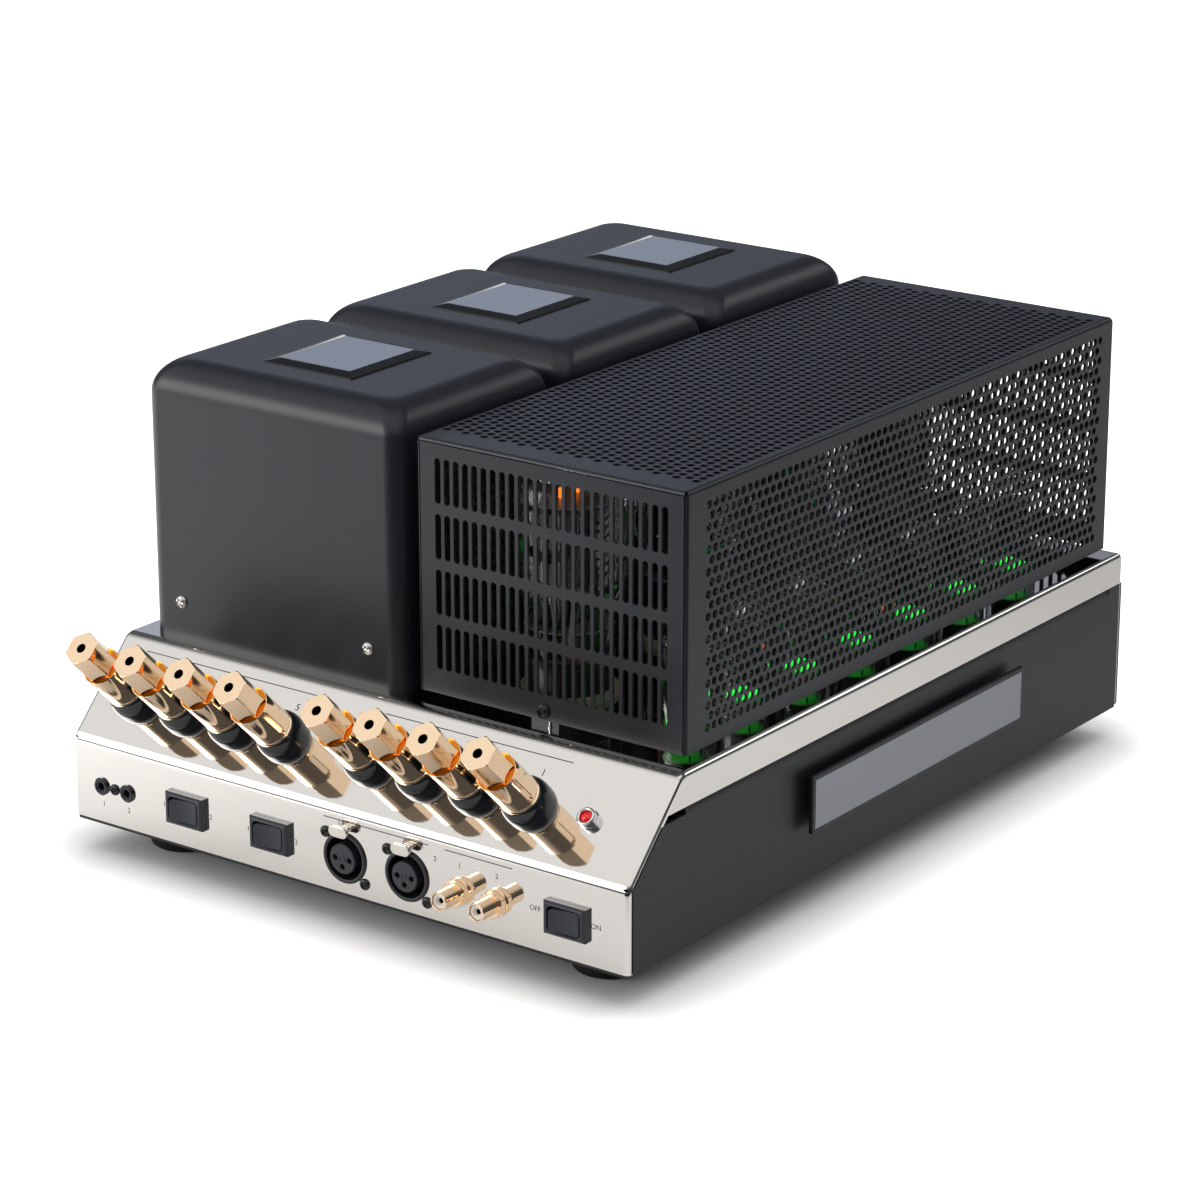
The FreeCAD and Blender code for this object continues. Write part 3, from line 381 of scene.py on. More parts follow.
def bar(size: Sequence[float], centre: Sequence[float] = (0, 0, 0), edge: float = 0.0, steps: int = 3) -> BMesh:
    """Make a block with softened edges.

    Args:
        size: Its length along x, y and z.
        centre: Its middle.
        edge: The radius of its edges.
        steps: Segments across each edge.

    Returns:
        The block.
    """
    bm = bmesh.new()
    bmesh.ops.create_cube(bm, size=1.0)
    bmesh.ops.scale(bm, vec=Vector(size), verts=bm.verts)
    bmesh.ops.translate(bm, vec=Vector(centre), verts=bm.verts)
    if edge:
        soften(bm, edge, steps)
    return bm


def soften(bm: BMesh, radius: float, steps: int = 3, above: float = 0.5,
           edges: Iterable[Any] | None = None) -> None:
    """Round the sharp edges of a mesh.

    Args:
        bm: The mesh.
        radius: The width of the rounding on each side of an edge.
        steps: Segments across it.
        above: Edges sharper than this angle, in radians, are rounded.
        edges: The edges to round, if not all the sharp ones.
    """
    chosen = list(edges) if edges is not None else [e for e in bm.edges if e.calc_face_angle(0) > above]
    bmesh.ops.bevel(bm, geom=chosen, offset=radius, offset_type="OFFSET", segments=steps, profile=0.5,
                    affect="EDGES", material=-1, clamp_overlap=True)


def turned(profile: Sequence[tuple[float, float]], steps: int = 48, ring: bool = False) -> BMesh:
    """Turn an outline about z.

    Args:
        profile: Points of radius and height.
        steps: Segments round the axis.
        ring: Whether the outline closes on itself.

    Returns:
        The turned form.
    """
    bm = bmesh.new()
    verts = [bm.verts.new((r, 0, z)) for r, z in profile]
    edges = [bm.edges.new(pair) for pair in zip(verts, verts[1:] + (verts[:1] if ring else []))]
    bmesh.ops.spin(bm, geom=verts + edges, cent=(0, 0, 0), axis=(0, 0, 1), angle=2 * math.pi, steps=steps,
                   use_merge=True)
    bmesh.ops.remove_doubles(bm, verts=bm.verts, dist=1e-3)
    bmesh.ops.recalc_face_normals(bm, faces=bm.faces)
    return bm


def rod(radius: float, low: float, high: float, steps: int) -> BMesh:
    """Turn a plain round bar along z."""
    return turned([(0, low), (radius, low), (radius, high), (0, high)], steps)


def arc(centre: tuple[float, float], radius: float, start: float, end: float,
        steps: int = 6) -> list[tuple[float, float]]:
    """Give the points of an arc of an outline, from one angle in degrees to another."""
    angles = [math.radians(start + (end - start) * i / steps) for i in range(steps + 1)]
    return [(centre[0] + radius * math.cos(a), centre[1] + radius * math.sin(a)) for a in angles]


def dome_points(radius: float, foot: float, rise: float, angles: Iterable[int]) -> list[tuple[float, float]]:
    """Give the outline of a dome at some angles in degrees."""
    turns = [math.radians(angle) for angle in angles]
    return [(radius * math.cos(turn), foot + rise * math.sin(turn)) for turn in turns]


def new_verts(result: dict[str, Any]) -> list[Any]:
    """Give the vertices that an operator made."""
    return [item for item in result["geom"] if isinstance(item, bmesh.types.BMVert)]


def prism(outline: Sequence[tuple[float, float]], low: float, high: float) -> BMesh:
    """Push a side view along y.

    Args:
        outline: Its points of x and z.
        low: Where it starts.
        high: Where it ends.

    Returns:
        The closed form.
    """
    bm = bmesh.new()
    side = bm.faces.new([bm.verts.new((x, low, z)) for x, z in outline])
    grown = bmesh.ops.extrude_face_region(bm, geom=[side])
    bmesh.ops.translate(bm, vec=(0, high - low, 0), verts=new_verts(grown))
    bmesh.ops.recalc_face_normals(bm, faces=bm.faces)
    return bm


def hexagon(flats: float, low: float, high: float, edge: float = 0.0) -> BMesh:
    """Make a hexagonal bar along z with two corners on x.

    Args:
        flats: Its width across the flats.
        low: Its lower end.
        high: Its upper end.
        edge: The radius of its edges.

    Returns:
        The bar.
    """
    bm = bmesh.new()
    corner = flats / math.sqrt(3)
    bmesh.ops.create_cone(bm, cap_ends=True, segments=6, radius1=corner, radius2=corner, depth=high - low)
    bmesh.ops.rotate(bm, matrix=Matrix.Rotation(math.radians(30), 3, "Z"), verts=bm.verts)
    bmesh.ops.translate(bm, vec=(0, 0, (low + high) / 2), verts=bm.verts)
    if edge:
        soften(bm, edge, 2)
    return bm


def merged(*parts: BMesh) -> BMesh:
    """Put several meshes into one, and free them."""
    whole = bmesh.new()
    for part in parts:
        carrier = bpy.data.meshes.new("carrier")
        part.to_mesh(carrier)
        part.free()
        whole.from_mesh(carrier)
        bpy.data.meshes.remove(carrier)
    return whole


def placed(part: BMesh, place: Matrix) -> BMesh:
    """Transform a mesh and give it back."""
    bmesh.ops.transform(part, matrix=place, verts=part.verts)
    return part


def repeated(part: BMesh, places: Iterable[Matrix]) -> BMesh:
    """Copy a mesh to several places, and free it."""
    copies = [placed(part.copy(), place) for place in places]
    part.free()
    return merged(*copies)


def shifted(part: BMesh, x: float = 0.0, y: float = 0.0, z: float = 0.0) -> BMesh:
    """Move a mesh and give it back."""
    bmesh.ops.translate(part, vec=(x, y, z), verts=part.verts)
    return part


def cut(part: BMesh, tool: BMesh) -> BMesh:
    """Cut one closed mesh out of another.

    Args:
        part: The mesh that is cut.
        tool: The mesh that is taken away.

    Returns:
        What is left.
    """
    objects = []
    for bm in (part, tool):
        mesh = bpy.data.meshes.new("blank")
        bmesh.ops.recalc_face_normals(bm, faces=bm.faces)
        bm.to_mesh(mesh)
        bm.free()
        objects.append(bpy.data.objects.new("blank", mesh))
        bpy.context.scene.collection.objects.link(objects[-1])
    blank, cutter = objects
    boolean = blank.modifiers.new("cut", "BOOLEAN")
    boolean.operation, boolean.solver, boolean.object = "DIFFERENCE", "EXACT", cutter
    boolean.use_self = True
    left = bpy.data.meshes.new_from_object(blank.evaluated_get(bpy.context.evaluated_depsgraph_get()))
    whole = bmesh.new()
    whole.from_mesh(left)
    for thing in objects:
        mesh = thing.data
        bpy.data.objects.remove(thing)
        bpy.data.meshes.remove(mesh)
    bpy.data.meshes.remove(left)
    return whole


def piece(name: str, bm: BMesh, finish: Finish, place: Matrix | None = None, nodes: Sequence[str] = (),
          body: str = "root") -> bpy.types.Object:
    """Make a finished piece of the amplifier.

    Args:
        name: The piece's name.
        bm: Its mesh, freed here.
        finish: Its surface.
        place: Where it goes, if it isn't in the frame yet.
        nodes: The frame's nodes that it stands for.
        body: The body that it rides on.

    Returns:
        The piece's object.
    """
    if place is not None:
        bmesh.ops.transform(bm, matrix=place, verts=bm.verts)
    mesh = bpy.data.meshes.new(name)
    bm.to_mesh(mesh)
    bm.free()
    mesh.shade_smooth()
    mesh.set_sharp_from_angle(angle=SMOOTH_BELOW)
    mesh.materials.append(finish.material())
    made = bpy.data.objects.new(name, mesh)
    bpy.context.scene.collection.objects.link(made)
    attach(made, body)
    flatter = made.modifiers.new("flat_faces", "WEIGHTED_NORMAL")
    flatter.keep_sharp = True
    if nodes:
        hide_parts(*nodes)
    LOG.info("%s: %d faces on %s", name, len(mesh.polygons), body)
    return made


@dataclass
class Chassis:
    """The polished shell, the black plates, the feet and the bare plaque."""

    length: float = 395.0
    width: float = 300.0
    panel: float = 37.0
    deck: float = 75.0
    slope: float = 36.5
    sheet: float = 1.5
    fold: float = 3.0
    side_fold: float = 2.4
    flange: float = 3.0
    seam_depth: float = 0.9
    seam: float = 0.3
    relief: float = 0.9
    plate_step: float = 57.2
    plate_notch: float = 39.5
    plate_far_rise: float = 10.0
    plate_far_corner: float = 2.0
    joggle: float = 1.1
    skirt_gap: float = 0.3
    cutter_reach: float = 4.0
    rocker_window: tuple[float, float] = (13.1, 19.3)
    tab_window: tuple[float, float] = (2.0, 4.8)
    round_holes: tuple[tuple[str, float], ...] = (
        ("xlr_inserts", 11.15), ("rca_jacks", 3.25), ("control_jacks", 3.15))
    power_hole: float = 19.15
    signal_hole: float = 9.65
    corner_relief: tuple[float, float] = (6.4, 6.4)
    bend_relief: tuple[float, float] = (2.6, 2.4)
    foot_radius: float = 16.0
    foot_round: float = 3.0
    foot_recess: float = 5.0
    foot_depth: float = 8.0
    foot_break: float = 0.4
    washer: float = 1.6
    plaque_rim: float = 2.0
    plaque_skin: float = 0.25

    @property
    def tilt(self) -> float:
        """Give the slope's angle from the level, in radians."""
        return math.atan2(self.deck - self.panel, self.slope)

    def build(self) -> None:
        """Make every piece of the chassis."""
        self.build_shell()
        self.build_side_plates()
        self.build_feet()
        self.build_plaque()

    def outline(self, inset: float, low: float, far: float) -> list[tuple[float, float]]:
        """Give the corners of the side view, taken in from the panel and the slope.

        Args:
            inset: How far it is taken in.
            low: The height of its lower edge.
            far: Where it ends.

        Returns:
            Points of x and z.
        """
        low_bend = self.panel - inset * math.tan((math.pi / 2 - self.tilt) / 2)
        high_bend = self.slope + inset * math.tan(self.tilt / 2)
        top = self.deck - inset
        return [(inset, low), (inset, low_bend), (high_bend, top), (far, top), (far, low)]

    def build_shell(self) -> None:
        """Fold the polished sheet: panel, slope and deck, with side flanges and a skirt."""
        bm = prism(self.outline(0, 0, self.length), 0, self.width)
        across = [e for e in bm.edges if abs(e.verts[0].co.y - e.verts[1].co.y) > 1
                  and min(v.co.z for v in e.verts) > 1]
        soften(bm, self.fold, 8, edges=across)
        rim = [e for e in bm.edges if abs(e.verts[0].co.y - e.verts[1].co.y) < 1e-3
               and not all(v.co.z < 1e-3 for v in e.verts) and e.calc_face_angle(0) > 0.5]
        soften(bm, self.side_fold, 6, edges=rim)
        skirt = span("side_plate_front")[1].z + self.skirt_gap
        bite = Vector((math.sin(self.tilt), 0, -math.cos(self.tilt)))
        bend = Vector((0, 0, self.panel))
        planes = [(Vector((0, 0, skirt)), Axis.Z.value, 0.0), (Vector((self.flange, 0, 0)), Axis.X.value, 0.0)]
        planes += [(bend + bite * self.flange, bite, 0.0), (bend + bite * self.seam_depth, bite, skirt),
                   (bend + bite * (self.seam_depth + self.seam), bite, skirt)]
        for point, normal, floor in planes:
            faces = [f for f in bm.faces if all(v.co.z > floor - 1e-3 for v in f.verts)]
            geometry = list({part for f in faces for part in (f, *f.edges, *f.verts)})
            bmesh.ops.bisect_plane(bm, geom=geometry, plane_co=point, plane_no=normal)
        bmesh.ops.delete(bm, geom=[f for f in bm.faces if self.is_open(f, skirt, bite)], context="FACES")
        bmesh.ops.solidify(bm, geom=bm.faces[:], thickness=self.sheet)
        whole = placed(bm, level())
        piece("polished_shell", cut(whole, self.openings()), POLISHED_STEEL, nodes=["chassis_shell"])

    def openings(self) -> BMesh:
        """Make what the panel, the slope and the deck are pierced with, already in the frame."""
        reach, outward = self.cutter_reach, Axis.BACK_X.value
        plugs: list[BMesh] = []

        def window(size: tuple[float, float], centre: Vector) -> None:
            """Add a square plug through the panel."""
            plugs.append(placed(bar((*size, 2 * reach)), stand((0, centre.y, centre.z), outward)))

        def plug(radius: float, place: Matrix) -> None:
            """Add a round plug through a face."""
            plugs.append(placed(rod(radius, -reach, reach, 40), place))

        for name in ("mode", "input", "power"):
            window(self.rocker_window, hinge(name + "_rocker")[0])
        for node, radius in self.round_holes:
            low, high = span(node)
            half = (high.z - low.z) / 2
            for y in (low.y + half, high.y - half):
                plug(radius, stand((0, y, low.z + half), outward))
        for i in (1, 2):
            window(self.tab_window, middle_of(f"xlr_latch_{i}"))
        plugs += self.reliefs()
        for i in range(1, Tubes.power_count + 1):
            centre = middle_of(f"power_tube_{i}")
            plug(self.power_hole, level(centre.x, centre.y, self.deck))
        first, y = span("signal_tubes")[0].x + Tubes.signal_radius, middle_of("signal_tubes").y
        for i in range(Tubes.signal_count):
            plug(self.signal_hole, level(first + i * Tubes.signal_pitch, y, self.deck))
        return merged(*plugs)

    def reliefs(self) -> list[BMesh]:
        """Make the small cuts that let the sheet fold at its corners, already in the frame."""
        cuts = []
        for y in (0.0, self.width):
            corner = bar((*self.corner_relief, self.relief), edge=0.2)
            cuts.append(placed(corner, level(0, y, self.panel - 0.4)))
            bend = bar((*self.bend_relief, self.relief), edge=0.4, steps=2)
            bmesh.ops.rotate(bend, matrix=Matrix.Rotation(-self.tilt, 3, "Y"), verts=bend.verts)
            cuts.append(placed(bend, level(self.slope - 0.6, y, self.deck - 1.2)))
        return cuts

    def is_open(self, face: Any, skirt: float, bite: Vector) -> bool:
        """Tell whether a face of the folded block is open on the real shell.

        Args:
            face: The face.
            skirt: The height of the skirt's lower edge.
            bite: The direction square to the slope, into the chassis.

        Returns:
            True for the underside, the space below the skirt and the seam behind the slope's edge.
        """
        middle = face.calc_center_median()
        depth = (middle - Vector((0, 0, self.panel))).dot(bite)
        if face.normal.z < -0.9:
            return True
        if abs(face.normal.y) > 0.999 and depth > self.flange and middle.x > self.flange and middle.z < skirt:
            return True
        if abs(face.normal.y) > 0.3 and middle.z > skirt and 0 < depth - self.seam_depth < self.seam:
            return middle.x < self.slope
        return face.normal.x > 0.3 and middle.z < skirt

    def build_side_plates(self) -> None:
        """Cut the two black plates, with a tongue at the top that steps in behind the skirt."""
        for name in ("side_plate_front", "side_plate_rear"):
            low, high = span(name)
            outline = self.outline(low.x, low.z, high.x)
            meet = low.x / math.sin(self.tilt) + (self.plate_step - self.panel) / math.tan(self.tilt)
            points = [*outline[:2], (meet, self.plate_step), (high.x, self.plate_step), (high.x, low.z)]
            bm = prism(points, low.y, high.y)
            flat_from = high.x - self.plate_far_rise
            stepped_to = flat_from - self.joggle / 2
            for x in (self.plate_notch, stepped_to, flat_from):
                everything = bm.verts[:] + bm.edges[:] + bm.faces[:]
                bmesh.ops.bisect_plane(bm, geom=everything, plane_co=(x, 0, 0), plane_no=Axis.X.value)
            top = [f for f in bm.faces if f.normal.z > 0.9 and f.calc_center_median().x > self.plate_notch]
            risen = bmesh.ops.extrude_face_region(bm, geom=top)
            tongue = new_verts(risen)
            bmesh.ops.delete(bm, geom=top, context="FACES_ONLY")
            bmesh.ops.translate(bm, vec=(0, 0, high.z - self.plate_step), verts=tongue)
            outer, inward = (low.y, self.joggle) if name.endswith("front") else (high.y, -self.joggle)
            stepped = [v for v in tongue if abs(v.co.y - outer) < 1e-3 and v.co.x < stepped_to + 1e-3]
            bmesh.ops.translate(bm, vec=(0, inward, 0), verts=stepped)
            foot = [e for e in bm.edges
                    if all(v.co.x > high.x - 1e-3 and v.co.z < low.z + 1e-3 for v in e.verts)]
            soften(bm, self.plate_far_corner, 5, edges=foot)
            soften(bm, 0.3, 2)
            piece(name + "_coated", bm, PLATE_COAT, level(), [name])

    def build_feet(self) -> None:
        """Turn four rubber feet with a rounded lower edge and a steel washer in the recess."""
        low, high = span("rubber_feet")
        radius, corner, recess, depth = self.foot_radius, self.foot_round, self.foot_recess, self.foot_depth
        height, edge = high.z - low.z, self.foot_break
        profile = [(0, height), (radius - edge, height), (radius, height - edge)]
        profile += arc((radius - corner, corner), corner, 0, -90)
        profile += [(recess + 0.6, 0), (recess, 0.6), (recess, depth), (0, depth)]
        spots = [level(x, y, low.z) for x in (low.x + radius, high.x - radius)
                 for y in (low.y + radius, high.y - radius)]
        piece("turned_feet", repeated(turned(profile), spots), FOOT_RUBBER, nodes=["rubber_feet"])
        floor = depth - self.washer
        washer = turned([(0, depth), (0, floor), (2.6, floor), (3.2, floor + 0.6), (3.4, depth)])
        piece("foot_screws", repeated(washer, spots), ZINC)

    def build_plaque(self) -> None:
        """Machine the bare plaque: a blasted face in a raised rim."""
        low, high = span("nameplate_bar")
        size, middle = high - low, (low + high) / 2
        piece("plaque_body", bar(size, middle, 0.5), PLATE_COAT, level(), ["nameplate_bar"])
        across, up = size.x - 2 * self.plaque_rim, size.z - 2 * self.plaque_rim
        face = bar((across, self.plaque_skin, up), (middle.x, low.y, middle.z), 0.12, 2)
        piece("plaque_face", face, PLAQUE_METAL, level())


@dataclass
class Cans:
    """Three drawn transformer cans, each with a bevelled glass plate on top."""

    count: int = 3
    corner: float = 8.0
    top_edge: float = 14.7
    turn_steps: int = 12
    wall: float = 1.2
    screw_radius: float = 3.0
    screw_height: float = 2.0
    glass_edge: float = 0.5
    glass_rise: float = 1.1
    pane_inset: float = 5.4
    pane_thickness: float = 0.15
    glass_bevel: float = 5.0
    glass_corner: float = 0.8

    def build(self) -> None:
        """Make the cans, the plates and the screws."""
        for i in range(1, self.count + 1):
            self.build_can(i)
            self.build_plate(i)
        self.build_screws()

    def build_can(self, index: int) -> None:
        """Draw one can from sheet.

        Args:
            index: The can's number.
        """
        node = f"transformer_can_{index}"
        low, high = span(node)
        bm = bmesh.new()
        rings = [self.ring(bm, low, high, 0.0, low.z, self.corner)]
        for inset, rise in arc((self.top_edge, -self.top_edge), self.top_edge, 180, 90, self.turn_steps):
            rings.append(self.ring(bm, low, high, inset, high.z + rise, self.corner))
        for lower, upper in zip(rings, rings[1:]):
            bmesh.ops.bridge_loops(bm, edges=lower + upper)
        bmesh.ops.contextual_create(bm, geom=rings[-1])
        bmesh.ops.recalc_face_normals(bm, faces=bm.faces)
        bmesh.ops.solidify(bm, geom=bm.faces[:], thickness=self.wall)
        piece(f"drawn_can_{index}", bm, CAN_COAT, level(), [node])

    def ring(self, bm: BMesh, low: Vector, high: Vector, inset: float, height: float,
             corner: float) -> list[Any]:
        """Draw one level outline of a can or of its plate.

        Args:
            bm: The mesh that it is drawn in.
            low: The can's lowest corner.
            high: The can's highest corner.
            inset: How far the outline is taken in from the walls.
            height: Its height.
            corner: The radius of its corners.

        Returns:
            Its edges, which make a loop.
        """
        middle = (low + high) / 2
        reach = (high - low) / 2 - Vector.Fill(3, inset + corner)
        signs = ((1, 1), (-1, 1), (-1, -1), (1, -1))
        points = [point for quarter, (x, y) in enumerate(signs)
                  for point in arc((middle.x + x * reach.x, middle.y + y * reach.y), corner, 90 * quarter,
                                   90 * quarter + 90, self.turn_steps)]
        verts = [bm.verts.new((x, y, height)) for x, y in points]
        return [bm.edges.new(pair) for pair in zip(verts, verts[1:] + verts[:1])]

    def build_plate(self, index: int) -> None:
        """Grind one black glass plate: thin, with a wide shallow bevel round a flat middle.

        Args:
            index: The plate's number.
        """
        node = f"can_plate_{index}"
        low, high = span(node)
        bm = bmesh.new()
        ground = low.z + self.glass_edge
        levels = ((0.0, low.z), (0.0, ground), (self.glass_bevel, ground + self.glass_rise))
        rings = [self.ring(bm, low, high, inset, height, self.glass_corner) for inset, height in levels]
        for lower, upper in zip(rings, rings[1:]):
            bmesh.ops.bridge_loops(bm, edges=lower + upper)
        for edges in (rings[0], rings[-1]):
            bmesh.ops.contextual_create(bm, geom=edges)
        bmesh.ops.recalc_face_normals(bm, faces=bm.faces)
        sharp = {e for f in bm.faces if abs(f.normal.z) > 0.99 for e in f.edges}
        bmesh.ops.split_edges(bm, edges=list(sharp))
        piece(f"glass_plate_{index}", bm, BLACK_GLASS, level(), [node])
        # The pane's grey-blue colour is a painted reflection of a pale sky
        reach = high - low - Vector.Fill(3, 2 * self.pane_inset)
        seat = ground + self.glass_rise + self.pane_thickness / 2
        centre = (low + high) / 2
        pane = bar((reach.x, reach.y, self.pane_thickness), (centre.x, centre.y, seat))
        piece(f"glass_pane_{index}", pane, PANE_PAINTED_REFLECTION, level(), [node])

    def build_screws(self) -> None:
        """Put pan head screws low on the outermost walls of the row."""
        low, high = span("can_screws")
        near, far = span("transformer_can_1")[0].x, span(f"transformer_can_{self.count}")[1].x
        middle = (low.z + high.z) / 2
        sides = (low.y + self.screw_radius, high.y - self.screw_radius)
        places = [stand((x, y, middle), out) for x, out in ((near, Axis.BACK_X.value), (far, Axis.X.value))
                  for y in sides]
        piece("can_wall_screws", repeated(pan_screw(self.screw_radius, self.screw_height), places), ZINC,
              nodes=["can_screws"])


def pan_screw(radius: float, height: float) -> BMesh:
    """Make a pan head screw with a cross recess, its head on the face.

    Args:
        radius: The head's radius.
        height: The head's height.

    Returns:
        The screw.
    """
    edge = height * 0.7
    dome = [(0, -0.05), (radius, 0)] + arc((radius - edge, 0), edge, 0, 60, 4)
    head = turned(dome + [(radius * 0.35, height * 0.97), (0, height)], 32)
    across, wide, deep = radius * 1.15, radius * 0.28, height * 1.1
    for size in ((across, wide, deep), (wide, across, deep)):
        head = cut(head, bar(size, (0, 0, height)))
    return head


@dataclass
class Screen:
    """A flat sheet punched with even rows of openings."""

    low: tuple[float, float]
    high: tuple[float, float]
    start: tuple[float, float]
    pitch: tuple[float, float]
    columns: int
    rows: int
    opening: Opening
    width: float
    length: float = 0.0
    staggered: bool = False

    def cell(self) -> BMesh:
        """Make one cell of the sheet round its opening."""
        u, v = self.pitch
        bm = bmesh.new()
        corners = [(0, 0), (u / 2, 0), (u, 0), (u, v), (u / 2, v), (0, v)]
        verts = [bm.verts.new((x, y, 0)) for x, y in corners]
        for pair in zip(verts, verts[1:] + verts[:1]):
            bm.edges.new(pair)
        hole = bmesh.ops.create_circle(bm, cap_ends=False, segments=12, radius=self.width / 2)["verts"]
        bmesh.ops.rotate(bm, matrix=Matrix.Rotation(math.radians(15), 3, "Z"), verts=hole)
        if self.opening is Opening.SLOT:
            reach = (self.length - self.width) / 2
            for sign in (-1, 1):
                half = [vert for vert in hole if vert.co.y * sign > 0]
                bmesh.ops.translate(bm, vec=(0, sign * reach, 0), verts=half)
        bmesh.ops.translate(bm, vec=(u / 2, v / 2, 0), verts=hole)
        bmesh.ops.triangle_fill(bm, use_beauty=True, use_dissolve=False, edges=bm.edges[:])
        return bm

    def blank(self) -> BMesh:
        """Make the plain half cell that squares off a staggered row."""
        bm = bmesh.new()
        u, v = self.pitch[0] / 2, self.pitch[1]
        bm.faces.new([bm.verts.new((x, y, 0)) for x, y in ((0, 0), (u, 0), (u, v), (0, v))])
        return bm

    def row(self, odd: bool) -> BMesh:
        """Make one row of cells.

        Args:
            odd: Whether the row is one of those set half a pitch along.

        Returns:
            The row.
        """
        u = self.pitch[0]
        count, first = (self.columns - 1, u / 2) if odd else (self.columns, 0.0)
        cells = repeated(self.cell(), [Matrix.Translation((first + i * u, 0, 0)) for i in range(count)])
        if not odd:
            return cells
        ends = repeated(self.blank(), [Matrix.Translation((x, 0, 0)) for x in (0, self.columns * u - u / 2)])
        return merged(cells, ends)

    def punched(self) -> BMesh:
        """Make the sheet in its own plane, without thickness: the rows, then the plain border."""
        v = self.pitch[1]
        evens = [Matrix.Translation((0, i * v, 0)) for i in range(0, self.rows, 2 if self.staggered else 1)]
        parts = [repeated(self.row(False), evens)]
        if self.staggered:
            odds = [Matrix.Translation((0, i * v, 0)) for i in range(1, self.rows, 2)]
            parts.append(repeated(self.row(True), odds))
        bm = shifted(merged(*parts), self.start[0], self.start[1])
        bmesh.ops.remove_doubles(bm, verts=bm.verts, dist=1e-3)
        last = (self.start[0] + self.columns * self.pitch[0], self.start[1] + self.rows * v)
        ends = [(0, self.start[0], self.low[0]), (0, last[0], self.high[0]),
                (1, self.start[1], self.low[1]), (1, last[1], self.high[1])]
        for axis, now, goal in ends:
            for vert in widen(bm, axis, now):
                vert.co[axis] = goal
        bmesh.ops.recalc_face_normals(bm, faces=bm.faces)
        if sum(f.normal.z for f in bm.faces) < 0:
            bmesh.ops.reverse_faces(bm, faces=bm.faces)
        return bm


def edge_line(bm: BMesh, axis: int, value: float) -> list[Any]:
    """Give the free edges of a sheet, where it is still flat, that lie on a line of its plane."""
    return [e for e in bm.edges if e.is_boundary
            and all(abs(v.co[axis] - value) < 1e-2 and abs(v.co.z) < 1e-3 for v in e.verts)]


def widen(bm: BMesh, axis: int, value: float) -> list[Any]:
    """Extrude the free edges of a sheet on a line, and give the new vertices."""
    return new_verts(bmesh.ops.extrude_edge_only(bm, edges=edge_line(bm, axis, value)))


def fold(bm: BMesh, axis: int, value: float, radius: float, inward: float, steps: int = 4) -> None:
    """Bend a free edge of a sheet down through a right angle.

    Args:
        bm: The sheet, flat in its own plane.
        axis: The axis that the edge is square to.
        value: Where the edge is on it.
        radius: The bend's radius.
        inward: 1 where the sheet lies on the lower side of the edge, or -1.
        steps: Segments of the bend.
    """
    edges = edge_line(bm, axis, value)
    centre, line = Vector((0, 0, -radius)), Vector((0, 0, 0))
    centre[axis] = value
    line[1 - axis] = 1
    turn = inward * (1 if axis == 0 else -1) * math.pi / 2
    verts = list({v for e in edges for v in e.verts})
    bmesh.ops.spin(bm, geom=verts + edges, cent=centre, axis=line, angle=turn, steps=steps, use_merge=False)


